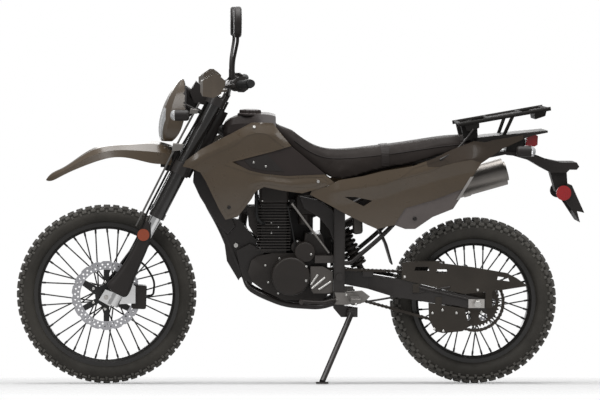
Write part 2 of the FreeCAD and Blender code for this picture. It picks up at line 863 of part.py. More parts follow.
def muffler():
    """Muffler can with its cone, outlet, strap and the tab to the rail."""
    start, line = muffler_axis()
    end = start + line * muffler_length
    cone = Part.makeCone(pipe_r + step * 0.4, muffler_r, overrun, start + line * fit_gap, line)
    can = rod(start + line * overrun, end, muffler_r)
    outlet = rod(end, end + line * (step * 0.9), muffler_r * 0.72)
    bore = rod(end - line * overrun, end + line * overrun, muffler_r * 0.33)
    strap_at = start + line * (muffler_length * 0.62)
    strap = rod(strap_at, strap_at + line * (step * 2.6), muffler_r + sheet)
    rail_side = spar_inner + fit_gap
    foot_z = strap_at.z + muffler_r * 0.55
    foot = Part.makeBox(step * 2.6, muffler_y - muffler_r * 0.5 - rail_side, step * 1.2,
                        V(strap_at.x, rail_side, foot_z))
    tab = Part.makeBox(step * 2.6, step * 0.6, frame_at(0.0, 0.936).z - foot_z,
                       V(strap_at.x, rail_side, foot_z))
    return fuse([cone, can, outlet, strap, foot, tab]).cut(bore)


def tank_sections():
    """Tank sections from front to rear: place, top, bottom and half-width as shares."""
    shares = [(0.00, 0.72, 0.42, 0.28), (0.10, 0.86, 0.30, 0.40), (0.24, 0.94, 0.20, 0.46),
              (0.42, 0.97, 0.06, 0.80), (0.60, 0.93, 0.0, 1.0), (0.80, 0.62, 0.0, 0.98),
              (1.0, 0.36, 0.02, 0.78)]
    corner = from_pivot(-tank_lead, tank_low)
    sections = []
    for place, top, bottom, half in shares:
        x = corner.x + tank_length * place
        z_top = corner.z + tank_height * top
        z_low = corner.z + tank_height * bottom
        w = tank_half_width * half
        rise = z_top - z_low
        ring = [(0, 1.0), (0.55, 0.96), (0.9, 0.72), (1.0, 0.40), (0.92, 0.0), (0.4, 0.0)]
        points = [V(x, w * a, z_low + rise * b) for a, b in ring]
        points += [V(x, -w * a, z_low + rise * b) for a, b in reversed(ring[1:])]
        sections.append(points)
    return sections


def fuel_tank():
    """Tank with a recess for its cap, a tunnel for the spine and a step under the seat."""
    tank = loft(tank_sections())
    start, bend, end = spine_route()
    rise = V(0, 0, tube_r * 1.3 + tank_tunnel_gap)
    roof = [start + (start - bend) + rise, start + rise, bend + rise, end + rise]
    roof[0] = start + (start - bend) * 0.5 + rise
    tunnel = slab(roof + [end, V(roof[0].x, 0, end.z)], -tube_r - running_gap * 8, tube_r + running_gap * 8)
    head_room = rod(steer(0, 0), steer(upper_clamp_low + overrun, 0), head_tube_r + step * 0.6)
    cap_room = rod(cap_base(), cap_base() + V(0, 0, overrun * 2), cap_r + fit_gap)
    under_seat = slab(seat_underside(), -tank_half_width - overrun, tank_half_width + overrun)
    return tank.cut(tunnel).cut(head_room).cut(cap_room).cut(under_seat)


def seat_underside():
    """Side view of the room that the seat takes over the tank."""
    corner = from_pivot(-seat_lead, seat_low)
    low = [V(corner.x + seat_length * row[0], 0, corner.z + seat_height * row[2] - seat_tank_gap)
           for row in seat_rows_share[:7]]
    first = V(corner.x - fit_gap * 6, 0, low[0].z + step * 0.6)
    roof = V(low[-1].x, 0, corner.z + seat_height * 2)
    return [V(first.x, 0, roof.z), first] + low + [roof]


def cap_base():
    """Middle of the cap on the tank."""
    return from_pivot(-cap_lead, tank_low + tank_height * 0.90)


def fuel_cap():
    """Round filler cap in the tank's recess."""
    base = cap_base() + V(0, 0, fit_gap)
    cap = rod(base, base + V(0, 0, cap_height), cap_r)
    return cap.makeFillet(step * 0.4, [cap.Edges[0]])


shroud_shares = [(0, 0.55), (0.02, 0.61), (0.12, 0.73), (0.24, 0.83), (0.33, 0.90), (0.45, 1.0), (0.53, 1.0),
                 (0.59, 0.995), (0.63, 0.91), (0.71, 0.76), (0.58, 0.70), (0.45, 0.65), (0.38, 0.62),
                 (0.32, 0.60), (0.435, 0.51), (0.53, 0.475), (0.68, 0.45), (0.93, 0.465), (1.0, 0.375),
                 (0.85, 0.30), (0.78, 0.27), (0.65, 0.30), (0.53, 0.34), (0.475, 0.29), (0.45, 0.215),
                 (0.38, 0.07), (0.36, 0.03), (0.28, 0), (0.235, 0.12), (0.15, 0.40), (0.115, 0.49),
                 (0.06, 0.53)]
shroud_width_shares = [[0.92, 0.90, 0.80, 0.72, 0.70], [0.98, 0.98, 0.90, 0.78, 0.74],
                       [0.96, 0.97, 0.89, 0.77, 0.73], [0.86, 0.84, 0.76, 0.70, 0.68]]
shroud_recess_shares = [(0.063, 0.545), (0.163, 0.645), (0.249, 0.708), (0.342, 0.770), (0.415, 0.865),
                        (0.482, 0.896), (0.548, 0.886), (0.615, 0.802), (0.674, 0.734), (0.581, 0.722),
                        (0.449, 0.68), (0.369, 0.64), (0.302, 0.61), (0.27, 0.57), (0.435, 0.485), (0.528, 0.455),
                        (0.681, 0.430), (0.914, 0.436), (0.953, 0.390), (0.834, 0.325), (0.648, 0.340),
                        (0.528, 0.372), (0.475, 0.345), (0.43, 0.235), (0.362, 0.085), (0.296, 0.045),
                        (0.262, 0.125), (0.176, 0.404), (0.143, 0.477)]
inner_panel_shares = [(0.33, 0.61), (0.55, 0.72), (0.70, 0.77), (0.94, 0.46), (0.68, 0.44), (0.53, 0.465),
                      (0.43, 0.50)]


def shroud_face():
    """Outer surface of the left shroud."""
    corner = from_pivot(-shroud_lead, shroud_low)
    return bulged_face(corner, shroud_length, shroud_height, shroud_half_width, shroud_width_shares)


def tank_shrouds():
    """Side shrouds, one each side, with their posts to the frame's rod and to the tank."""
    corner = from_pivot(-shroud_lead, shroud_low)
    face = shroud_face()
    outline = side_points(shroud_shares, corner, shroud_length, shroud_height)
    sunk = side_points(shroud_recess_shares, corner, shroud_length, shroud_height)
    skin = side_skin(face, outline).cut(side_skin(face, sunk, -running_gap, recess_depth + running_gap))
    low_post = boss(face, pivot.x - shroud_mount_lead, pivot.z + shroud_mount_rise,
                    shroud_mount_half + fit_gap, step * 0.8)
    tank = loft(tank_sections())
    tank.translate(V(0, -fit_gap, 0))
    top_post = boss(face, pivot.x - step * 33.1, pivot.z + step * 57.2, tank_half_width * 0.4,
                    step * 0.8).cut(tank)
    top_post = min(top_post.Solids, key=lambda s: s.CenterOfMass.y)
    return both_sides(fuse([skin, low_post, top_post]))


def tank_side_panels():
    """Dark panels that fill the shrouds' notch, tucked behind the shrouds."""
    corner = from_pivot(-shroud_lead, shroud_low)
    outline = side_points(inner_panel_shares, corner, shroud_length, shroud_height)
    return both_sides(side_skin(shroud_face(), outline, panel_wall + fit_gap))


seat_rows_share = [(0.0, 1.0, 0.84, 0.50), (0.05, 0.90, 0.68, 0.56), (0.13, 0.70, 0.42, 0.64),
                   (0.20, 0.57, 0.22, 0.70), (0.28, 0.51, 0.05, 0.76), (0.35, 0.51, 0.04, 0.84),
                   (0.46, 0.545, 0.15, 0.95), (0.60, 0.60, 0.26, 1.0), (0.76, 0.68, 0.38, 1.0),
                   (0.90, 0.74, 0.50, 0.92), (1.0, 0.76, 0.60, 0.74)]


def seat():
    """Long seat: low in the middle, rising over the tank and to the rear."""
    corner = from_pivot(-seat_lead, seat_low)
    ring = [(0, 1.0), (0.45, 0.985), (0.74, 0.90), (0.90, 0.66), (0.97, 0.30), (1.0, 0.0)]
    sections = []
    for place, top, bottom, half in seat_rows_share:
        x = corner.x + seat_length * place
        z_low = corner.z + seat_height * bottom
        rise = seat_height * (top - bottom)
        w = seat_half_width * half
        points = [V(x, w * a, z_low + rise * b) for a, b in ring]
        points += [V(x, -w * a, z_low + rise * b) for a, b in reversed(ring[1:])]
        sections.append(points)
    return loft(sections)


side_shares = [(0, 0.365), (0.01, 0.41), (0.13, 0.485), (0.245, 0.53), (0.36, 0.59), (0.48, 0.65),
               (0.575, 0.725),
               (0.645, 0.79), (0.765, 0.89), (0.86, 0.95), (1.0, 1.0), (1.0, 0.955), (0.905, 0.86),
               (0.80, 0.70),
               (0.725, 0.44), (0.575, 0.31), (0.445, 0.225), (0.395, 0.045), (0.315, 0), (0.27, 0.045),
               (0.175, 0.15), (0.08, 0.27)]
side_width_shares = [[0.78, 0.84, 0.80, 0.70, 0.58], [0.80, 0.90, 0.88, 0.76, 0.60],
                     [0.80, 0.90, 0.90, 0.80, 0.62], [0.76, 0.84, 0.84, 0.78, 0.62]]
spear_shares = [(0.401, 0.527), (0.481, 0.634), (0.623, 0.731), (0.647, 0.710), (0.576, 0.624), (0.434, 0.538)]
vent_shares = [(0.16, 0.345), (0.21, 0.345), (0.29, 0.305), (0.25, 0.245)]
cover_shares = [(0, 0.12), (0.14, 0.60), (0.54, 0.80), (1, 1.08), (0.93, 0.76), (0.83, 0.5), (0.54, 0.31),
                (0.29, 0.02), (0.19, 0)]


def side_face():
    """Outer surface of the left side panel."""
    corner = from_pivot(-side_lead, side_low)
    return bulged_face(corner, side_length, side_height, side_half_width, side_width_shares)


def side_panels():
    """Side panels with a vent and posts to the rails; the right one is cut back round the muffler."""
    corner = from_pivot(-side_lead, side_low)
    face = side_face()
    outline = side_points(side_shares, corner, side_length, side_height)
    vent = slab(side_points(vent_shares, corner, side_length, side_height), -overrun * 10, 0)
    posts = [boss(face, pivot.x + frame_span * 0.3, pivot.z + frame_span * 0.642, spar_inner + fit_gap,
                  post_r),
             boss(face, pivot.x + frame_span * 0.8, rail_height(0.8), spar_inner + fit_gap, post_r)]
    sunk = side_points(spear_shares, corner, side_length, side_height)
    spear = side_skin(face, sunk, -running_gap, recess_depth + running_gap)
    left = fuse([side_skin(face, outline).cut(vent).cut(spear)] + posts).Solids[0]
    start, line = muffler_axis()
    room = rod(start - line * (step * 15), start + line * (muffler_length + overrun), muffler_r + step * 1.2)
    right = left.mirror(V(0, 0, 0), V(0, 1, 0)).cut(room)
    right = max(right.Solids, key=lambda s: s.Volume)
    return Part.makeCompound([left, right])


def lower_side_cover():
    """Grey cover under the left side panel."""
    corner = from_pivot(cover_lead, cover_low)
    outline = side_points(cover_shares, corner, cover_length, cover_height)
    return side_skin(side_face(), outline, panel_wall + fit_gap)


lid_shares = [(-0.012, 0.80), (0.25, 0.87), (0.656, 0.973), (0.656, 0.927), (0.52, 0.858), (0.43, 0.78),
              (0.25, 0.70), (-0.012, 0.62)]
fender_shares = [(-0.15, 0.30), (0.25, 0.482), (0.306, 0.482), (0.575, 0.402), (0.674, 0.30), (0.79, 0.24),
                 (0.931, 0.24), (0.954, 0.146), (0.931, 0.075), (0.867, 0.075), (0.84, 0.007), (0.70, 0.007),
                 (0.629, 0.10), (0.503, 0.285), (0.419, 0.345), (0.306, 0.427), (-0.15, 0.185)]
stalk_shares = [(0.70, 0.02), (0.853, 0.02), (0.862, -0.27), (0.82, -0.56), (0.755, -0.43)]
bracket_shares = [(0.844, -0.249), (0.885, -0.272), (1.0, -0.902), (0.934, -0.865), (0.963, -1.123),
                  (0.83, -0.623), (0.79, -0.477)]
housing_shares = [(0.30, 0.40), (0.30, 0.86), (0.465, 0.86), (0.465, 0.36)]
lamp_shares = [(0.466, 0.62), (0.485, 0.83), (0.56, 0.865), (0.578, 0.84), (0.575, 0.64), (0.55, 0.60)]


def tail_slab(shares, half):
    """Piece of the tail: side view outline between two equal distances from the middle."""
    corner = from_pivot(tail_lead, tail_low)
    return slab(side_points(shares, corner, tail_length, tail_height), -half, half)


def plate_bracket():
    """Open bracket for the plate: a rear panel with two legs."""
    shell = tail_slab(bracket_shares, plate_width / 2)
    inside = tail_slab(bracket_shares, plate_width / 2 - plate_wall)
    inside.translate(V(-plate_wall, 0, -plate_wall))
    top, down, normal = plate_frame()
    for side in (-1, 1):
        at = top + down * plate_hole_drop + V(0, side * plate_hole_pitch / 2, 0) - normal * overrun
        shell = shell.cut(Part.makeCylinder(plate_hole_r, overrun * 2, at, normal))
    return shell.cut(inside)


def rear_fender():
    """Tail cover, lamp housing, rear fender, stalk and the bracket for the plate."""
    reach = side_reflector_half - step * 0.6
    middle = side_reflector_at(0, 0)
    bar = rod(middle - V(0, reach, 0), middle + V(0, reach, 0), step * 0.7)
    shapes = [tail_slab(lid_shares, tail_half_width), tail_slab(fender_shares, fender_half_width),
              tail_slab(housing_shares, fender_half_width * 0.7), tail_slab(stalk_shares, step * 2.6), bar]
    saddle = rod(subframe_tail_bar(-1), subframe_tail_bar(1), rail_r * 0.8 + fit_gap)
    return fuse(shapes + [plate_bracket()]).cut(saddle)


def plate_frame():
    """Top middle, down direction and outward normal of the plate bracket's rear face."""
    corner = from_pivot(tail_lead, tail_low)
    top, low = side_points(bracket_shares[1:3], corner, tail_length, tail_height)
    down = low - top
    down.normalize()
    return top, down, V(-down.z, 0, down.x)


def side_reflector_at(side, inset):
    """Seat of a side reflector."""
    middle = from_pivot(tail_lead + tail_length * 0.808, tail_low - tail_height * 0.447)
    return middle + V(0, side * (side_reflector_half - inset), 0)


def rear_lamps():
    """Tail lamp and the two side reflectors."""
    lamp = tail_slab(lamp_shares, lamp_half_width)
    lamp.translate(V(fit_gap, 0, 0))
    shapes = [lamp.cut(tail_slab(lid_shares, tail_half_width))]
    for side in (-1, 1):
        seat_point = side_reflector_at(side, step * 0.6 - fit_gap)
        shapes.append(rod(seat_point, seat_point + V(0, side * step * 0.9, 0), side_reflector_r))
    return Part.makeCompound(shapes)


def signal(centre, lens_sign, stalk_to_y):
    """Turn signal: a rounded pod with its stalk."""
    start = centre - V(signal_length / 2, 0, 0)
    pod = Part.makeCylinder(signal_r, signal_length, start, V(1, 0, 0))
    rear_edge = [e for e in pod.Edges if e.Curve.TypeId == 'Part::GeomCircle'
                 and (e.Curve.Center.x - centre.x) * lens_sign < 0]
    pod = pod.makeFillet(signal_r * 0.6, rear_edge)
    end = V(centre.x, stalk_to_y, centre.z)
    return pod.fuse(rod(centre, end, signal_stalk_r)).removeSplitter()


def rear_signals():
    """Rear turn signals on stalks from the lamp housing."""
    centre = from_pivot(tail_lead + tail_length * 0.42, tail_low + tail_height * 0.52, -rear_signal_half)
    return both_sides(signal(centre, 1, -fender_half_width * 0.7 - fit_gap))


def rack_point(place, drop, y):
    """Point on the rack: share of its length, drop below its top plane and distance across."""
    return from_pivot(rack_lead + rack_length * place, rack_low + rack_rise * place - drop, y)


def rack_plate_frame():
    """Centre and upward normal of the rack's bolt plate."""
    slope = math.atan2(rack_rise, rack_length)
    return rack_point(0.51, 0, 0), V(-math.sin(slope), 0, math.cos(slope))


def rack_plate():
    """Bolt plate with four holes on a circle."""
    centre, normal = rack_plate_frame()
    line = V(normal.z, 0, -normal.x)
    half_long = rack_length * 0.18
    half_wide = rack_half_width * 0.62
    corners = [centre + line * a + V(0, b, 0) - normal * rack_plate_wall / 2
               for a, b in ((-half_long, -half_wide), (half_long, -half_wide), (half_long, half_wide),
                            (-half_long, half_wide))]
    plate = Part.Face(Part.makePolygon(corners + corners[:1])).extrude(normal * rack_plate_wall)
    for i in range(4):
        turn = math.radians(45 + 90 * i)
        at = centre + line * (rack_hole_pcd / 2 * math.cos(turn)) + V(0, rack_hole_pcd / 2 * math.sin(turn),
            0)
        plate = plate.cut(Part.makeCylinder(rack_hole_r, overrun, at - normal * overrun / 2, normal))
    return plate


rack_bracket_shares = [(0.03, 0.0), (0.20, 0.0), (0.20, 0.40), (0.12, 0.55), (0.06, 0.45)]
rack_tray_shares = [(0.83, 0.0), (0.98, 0.0), (0.96, 0.45), (0.85, 0.55)]


def cargo_rack():
    """Rear carrier: two side rails, cross slats, a bolt plate and legs to the tail's lid."""
    shapes = [rack_plate()]
    lid = tail_slab(lid_shares, tail_half_width)
    lid.translate(V(0, 0, fit_gap))
    for side in (-1, 1):
        y = side * rack_half_width
        shapes.append(rod(rack_point(-0.03, 0, y), rack_point(1.0, 0, y), rack_bar / 2))
        front_leg = rod(rack_point(0.06, 0, y * 0.99), rack_point(0.20, step * 9, y * 0.70), rack_bar * 0.45)
        rear_leg = rod(rack_point(0.58, 0, y * 0.99), rack_point(0.46, step * 9.6, y * 0.66),
                       rack_bar * 0.45)
        for leg in (front_leg, rear_leg):
            shapes.append(max(leg.cut(lid).Solids, key=lambda s: s.CenterOfMass.z))
        bracket = [rack_point(a, rack_rise * b, 0) for a, b in rack_bracket_shares]
        inner = rack_half_width - rack_bracket_wall / 2
        shapes.append(slab(bracket, min(side * inner, side * (inner + rack_bracket_wall)),
                           max(side * inner, side * (inner + rack_bracket_wall))))
    tray = [rack_point(a, rack_rise * b, 0) for a, b in rack_tray_shares]
    shapes.append(slab(tray, -rack_half_width * 0.6, rack_half_width * 0.6))
    for place in (0.0, 0.33, 0.69, 0.97):
        reach = rack_half_width + rack_bar * 0.3
        shapes.append(rod(rack_point(place, 0, -reach), rack_point(place, 0, reach), rack_bar * 0.45))
    return fuse(shapes)


def front_sprocket_at():
    """Middle of the front sprocket."""
    return from_pivot(-front_sprocket_lead, -front_sprocket_drop)


def chain_run():
    """Sizes of the chain's middle line: both radii, the straight run, its slope and the wrap's half angle."""
    small = front_sprocket_r + sprocket_gap + chain_height / 2
    large = rear_sprocket_r + sprocket_gap + chain_height / 2
    gap = rear_axle - front_sprocket_at()
    spread = math.acos((small - large) / gap.Length)
    return small, large, gap.Length * math.sin(spread), math.atan2(gap.z, gap.x), spread


def chain_spot(travel):
    """Point on the chain's middle line after a travel along it, and the outward direction there."""
    small, large, straight, base, spread = chain_run()
    front = front_sprocket_at()
    turn = base + spread
    if travel > straight:
        turn -= min(travel - straight, large * spread * 2) / large
    if travel > straight * 2 + large * spread * 2:
        turn -= (travel - straight * 2 - large * spread * 2) / small
    out = V(math.cos(turn), 0, math.sin(turn))
    if travel <= straight:
        share = travel / straight
    elif travel <= straight + large * spread * 2:
        share = 1.0
    else:
        share = max(0.0, 1.0 - (travel - straight - large * spread * 2) / straight)
    return front + (rear_axle - front) * share + out * (small + (large - small) * share), out


def chain_outline(side):
    """Outer or inner outline of the loop, drawn in at every link's waist."""
    small, large, straight, _, spread = chain_run()
    total = straight * 2 + large * spread * 2 + small * (math.pi - spread) * 2
    steps = int(total / chain_pitch) * 2
    points = []
    for i in range(steps):
        spot, out = chain_spot(total * i / steps)
        half = chain_height / 2 - (link_waist if i % 2 else 0)
        points.append(spot + out * half * side)
    return points


def chain():
    """Closed chain loop round both sprockets, waisted at every link."""
    low, high = -chain_line - chain_width / 2, -chain_line + chain_width / 2
    return slab(chain_outline(1), low, high).cut(slab(chain_outline(-1), low, high))


guard_slot_shares = [((0.578, 0.048), (0.588, 0.078), (0.686, 0.078), (0.694, 0.048)),
                     ((0.748, 0.032), (0.756, 0.058), (0.828, 0.058), (0.836, 0.032)),
                     ((1.220, -0.022), (1.226, 0.004), (1.306, -0.008), (1.316, -0.034))]


def chain_guards():
    """Upper guard and the lower cover, on the left arm's outer side."""
    face_y = arm_rear_inner + arm_wall + fit_gap
    upper_shares = [(0, 0.97), (0.04, 1.0), (0.24, 1.0), (0.56, 0.84), (0.83, 0.66), (0.91, 0.50),
                    (1.0, 0.25),
                    (0.79, 0.12), (0.50, 0.0), (0.38, 0.09), (0.0, 0.45)]
    corner = frame_at(0.482, -0.132)
    upper = slab(side_points(upper_shares, corner, guard_length, guard_height), -face_y - sheet, -face_y)
    tabs = []
    for back, low, high in ((0.568, -0.122, -0.054), (1.132, -0.242, -0.098)):
        tabs.append(Part.makeBox(guard_tab_width, sheet, frame_span * (high - low),
                                 frame_at(back, low, -face_y - sheet)))
    lip = Part.makeBox(guard_length * 0.3, guard_lip, sheet,
                       V(corner.x + guard_length * 0.04, -face_y - sheet, corner.z + guard_height - sheet))
    lower_shares = [(0, 0.97), (0.88, 0.78), (0.95, 0.43), (1.0, 0.22), (0.83, 0.06), (0.36, 0.0),
                    (0.17, 0.06),
                    (0.02, 0.43)]
    low_corner = frame_at(0.69, -0.436)
    lower = slab(side_points(lower_shares, low_corner, lower_guard_length, lower_guard_height),
                 -face_y - sheet,
                 -face_y)
    low_tab = Part.makeBox(guard_tab_width, sheet, guard_low_tab,
                           V(low_corner.x + guard_tab_width, -face_y - sheet,
                             low_corner.z + lower_guard_height * 0.85))
    upper = fuse([upper, lip] + tabs)
    for slot_shares in guard_slot_shares:
        upper = upper.cut(slab([frame_at(a, b) for a, b in slot_shares], -face_y - sheet * 2, -face_y))
    return Part.makeCompound([upper, fuse([lower, low_tab])])


def foot_side(side):
    """Footpeg with its bracket, and the foot lever of one side."""
    face_y = spar_inner + spar_wall + fit_gap
    low = face_y if side > 0 else -face_y - peg_bracket_wall
    bracket = slab([frame_at(-0.036, -0.12), frame_at(0.14, -0.124), frame_at(0.148, -0.196),
                    frame_at(0.06, -0.216),
                    frame_at(-0.036, -0.212)], low, low + peg_bracket_wall)
    y_low = side * peg_inner if side > 0 else -peg_inner - peg_length
    peg = Part.makeBox(peg_width, peg_length, peg_height,
                       from_pivot(peg_x_reach - peg_width / 2, -peg_drop - peg_height / 2, y_low))
    peg = peg.makeFillet(step * 0.4, peg.Edges)
    neck = rod(from_pivot(peg_x_reach, -peg_drop, side * (face_y + step * 0.1)),
               from_pivot(peg_x_reach, -peg_drop, side * (peg_inner + step * 0.6)), step * 0.9)
    toe = frame_at(-0.296, -0.184, side * step * 15.2)
    lever = bent_bar([frame_at(-0.016, -0.176, side * (face_y + step * 0.6)),
                      frame_at(-0.044, -0.176, side * (face_y + step * 1.4)),
                      frame_at(-0.12, -0.196, side * step * 13.8), toe], step * 0.6)
    pad = rod(toe, toe + V(0, side * step * 3.4, 0), step * 0.8)
    return fuse([bracket, peg, neck, lever, pad])


def foot_controls():
    """Footpegs on their brackets, shift lever and brake pedal."""
    left, right = foot_side(-1), foot_side(1)
    return Part.makeCompound(list(left.Solids) + list(right.Solids))


def airbox():
    """Intake box behind the engine with its duct from the cylinder and the flap before the rear tyre."""
    box = slab([frame_at(0.06, 0.48), frame_at(0.06, 0.592), frame_at(0.26, 0.604), frame_at(0.6, 0.704),
                frame_at(0.66, 0.68), frame_at(0.6, 0.58), frame_at(0.38, 0.43), frame_at(0.33, 0.344),
                frame_at(0.26, 0.38)], -step * 4.4, step * 4.4)
    duct = rod(from_pivot(-carb_lead + carb_length / 2 + fit_gap, carb_rise),
               from_pivot(overrun, carb_rise), boot_r)
    flap = slab([frame_at(0.3, 0.38), frame_at(0.33, 0.352), frame_at(0.38, 0.24), frame_at(0.424, 0.084),
                 frame_at(0.414, 0.08), frame_at(0.366, 0.23), frame_at(0.31, 0.344)], -step * 5.5,
                 step * 5.5)
    return fuse([box, duct, flap])


def gear_outline(centre, root, tip, teeth, root_share, tip_share):
    """Side view outline with teeth; the shares are of the pitch."""
    points = []
    pitch = 2 * math.pi / teeth
    for i in range(teeth):
        for radius, share in ((root, -root_share / 2), (tip, -tip_share / 2), (tip, tip_share / 2),
                              (root, root_share / 2)):
            turn = pitch * (i + share)
            points.append(centre + V(radius * math.cos(turn), 0, radius * math.sin(turn)))
    return points


def tyre(centre, radius, width, seat_r, rim_width, lug_rows):
    """Tyre: a hollow carcass with rows of lugs across its tread."""
    half = width / 2
    bead = rim_width / 2 - rim_wall - fit_gap
    rise = radius - seat_r
    outer = [(bead, seat_r + fit_gap), (bead, seat_r + rim_flange + fit_gap * 7),
             (half * 0.93, seat_r + rise * 0.38),
             (half, seat_r + rise * 0.58), (half * 0.96, seat_r + rise * 0.80),
             (half * 0.72, radius - rise * 0.07),
             (half * 0.36, radius - rise * 0.01)]
    outer += [(-y, r) for y, r in reversed(outer)]
    wall = tyre_wall
    inner = [(-bead + wall, seat_r + fit_gap), (-half + wall * 1.2, seat_r + rise * 0.42),
             (-half + wall, seat_r + rise * 0.6), (-half * 0.5, radius - rise * 0.34)]
    inner += [(-y, r) for y, r in reversed(inner)]
    tread = gear_outline(centre, radius - lug_height, radius + lug_height, lug_rows, 0.78, 0.60)
    return turned(outer + inner, centre).common(slab(tread, -width, width))


def rim(centre, seat_r, width):
    """Spoked wheel rim: flanges, bead seats and a well."""
    half = width / 2
    flange = seat_r + rim_flange
    profile = [(-half, flange), (-half, seat_r - step * 0.2), (-half * 0.55, seat_r - rim_depth),
               (half * 0.55, seat_r - rim_depth), (half, seat_r - step * 0.2), (half, flange),
               (half - rim_wall, flange),
               (half - rim_wall, seat_r), (half * 0.45, seat_r - rim_depth + rim_wall + step * 0.2),
               (-half * 0.45, seat_r - rim_depth + rim_wall + step * 0.2), (-half + rim_wall, seat_r),
               (-half + rim_wall, flange)]
    return turned(profile, centre)


def spokes(centre, seat_r, half):
    """Laced spokes from the hub's flanges to the rim."""
    shapes = []
    pitch = math.radians(360.0 / spoke_count)
    end_r = seat_r - rim_depth - fit_gap * 2
    for i in range(spoke_count):
        side = 1 if i % 2 else -1
        lean = 1 if (i // 2) % 2 else -1
        rim_turn = pitch * i
        hub_turn = rim_turn + lean * pitch * 5.2
        hub_y = side * (half - hub_flange_wall / 2 - lean * spoke_r * 1.1)
        start = centre + V(math.cos(hub_turn) * (hub_flange_r - spoke_seat), hub_y,
                           math.sin(hub_turn) * (hub_flange_r - spoke_seat))
        end = centre + V(math.cos(rim_turn) * end_r, side * spoke_stagger, math.sin(rim_turn) * end_r)
        shapes.append(rod(start, end, spoke_r))
    return shapes


def hub(centre, half, seat_r, end):
    """Hub with its two flanges, end sleeves and all its spokes."""
    right = [(half - hub_flange_wall - step * 0.3, hub_barrel_r), (half - hub_flange_wall, hub_flange_r),
             (half, hub_flange_r), (half, hub_barrel_r - step * 0.3), (end, hub_barrel_r - step * 0.3),
             (end, axle_r + running_gap)]
    left = [(-y, r) for y, r in reversed(right)]
    return turned(left + right, centre).multiFuse(spokes(centre, seat_r, half))


def brake_disc(centre, radius, band, y_mid, waves):
    """Wave disc on a star carrier."""
    y_low = y_mid - disc_wall / 2
    y_high = y_mid + disc_wall / 2
    ring = disc(centre, radius, y_low, y_high, radius - band)
    for i in range(waves):
        turn = 2 * math.pi * i / waves
        bite = centre + V(math.cos(turn) * (radius + disc_wave_gap), 0,
                          math.sin(turn) * (radius + disc_wave_gap))
        ring = ring.cut(disc(bite, disc_wave_r, y_low, y_high))
    holes = []
    for i in range(waves * 4):
        turn = 2 * math.pi * (i + 0.5) / (waves * 4)
        at = radius - band * (0.40 if i % 2 else 0.74)
        holes.append(disc(centre + V(math.cos(turn) * at, 0, math.sin(turn) * at), disc_hole_r, y_low,
                          y_high))
    ring = ring.cut(Part.makeCompound(holes))
    carrier = disc(centre, hub_flange_r + step * 0.8, y_low, y_high, hub_barrel_r - step * 0.25)
    arms = []
    for i in range(disc_arms):
        arm = Part.makeBox(radius - band + step * 0.8 - hub_flange_r, disc_wall, disc_arm_width,
                           V(hub_flange_r, y_low, -disc_arm_width / 2))
        arm.rotate(V(0, 0, 0), V(0, 1, 0), 360.0 * i / disc_arms + 30)
        arm.translate(V(centre.x, 0, centre.z))
        arms.append(arm)
    return fuse([ring, carrier] + arms)


def rear_sprocket():
    """Rear sprocket with teeth and lightening holes."""
    y_low = -chain_line - rear_sprocket_wall / 2
    y_high = -chain_line + rear_sprocket_wall / 2
    teeth = gear_outline(rear_axle, rear_sprocket_r - tooth_height, rear_sprocket_r, sprocket_teeth, 0.7,
                         0.25)
    wheel = slab(teeth, y_low, y_high).cut(disc(rear_axle, hub_barrel_r - running_gap * 5, y_low, y_high))
    for i in range(6):
        turn = math.radians(60 * i)
        at = rear_sprocket_r * 0.66
        hole = rear_axle + V(math.cos(turn) * at, 0, math.sin(turn) * at)
        wheel = wheel.cut(disc(hole, rear_sprocket_r * 0.17, y_low, y_high))
    return wheel


def caliper(centre, disc_y, direction_deg, disc_r):
    """Brake caliper: a block round the disc's edge with a slot for the disc."""
    turn = math.radians(direction_deg)
    middle = centre + V(math.cos(turn) * (disc_r - step * 0.8), 0, math.sin(turn) * (disc_r - step * 0.8))
    y_half = caliper_slot / 2 + caliper_wall
    block = Part.makeBox(caliper_height, y_half * 2, caliper_length,
                         V(-caliper_height / 2, -y_half, -caliper_length / 2))
    block = block.makeFillet(step * 0.8, block.Edges)
    slot = Part.makeBox(caliper_height, caliper_slot, caliper_length + step * 0.2,
                        V(-caliper_height / 2 - step * 1.4, -caliper_slot / 2,
                          -caliper_length / 2 - step * 0.1))
    block = block.cut(slot)
    block.rotate(V(0, 0, 0), V(0, 1, 0), -direction_deg)
    block.translate(middle + V(0, disc_y, 0))
    return block


def rear_caliper():
    """Rear caliper with the carrier that hangs on the right arm."""
    block = caliper(rear_axle, rear_disc_offset, 118.0, rear_disc_r)
    y_in = rear_disc_offset + caliper_slot / 2 + step * 0.6
    carrier = slab([rear_axle + hub_step(-0.7, 0.96), rear_axle + hub_step(-0.4, 1.12),
                    rear_axle + hub_step(-0.44, 0.1),
                    rear_axle + hub_step(-0.9, 0.14)], y_in, arm_rear_inner - fit_gap)
    return fuse([block, carrier])


def front_caliper():
    """Front caliper behind the left leg."""
    return caliper(front_axle, -front_disc_offset, -2.0, front_disc_r)


def clamp_plate(low, height):
    """One clamp: two rings round the legs and the plate between them."""
    shapes = []
    for side in (-1, 1):
        leg = steer(low, fork_offset, side * fork_half_width)
        shapes.append(rod(leg, leg + along_fork * height, outer_tube_r + clamp_wall))
    middle = steer(low, fork_offset * 0.5)
    points = [middle + ahead_fork * a + V(0, b * fork_half_width, 0)
              for a, b in ((-step * 1.2, -1), (step * 3, -1), (step * 3, 1), (-step * 1.2, 1))]
    shapes.append(Part.Face(Part.makePolygon(points + points[:1])).extrude(along_fork * height))
    return shapes


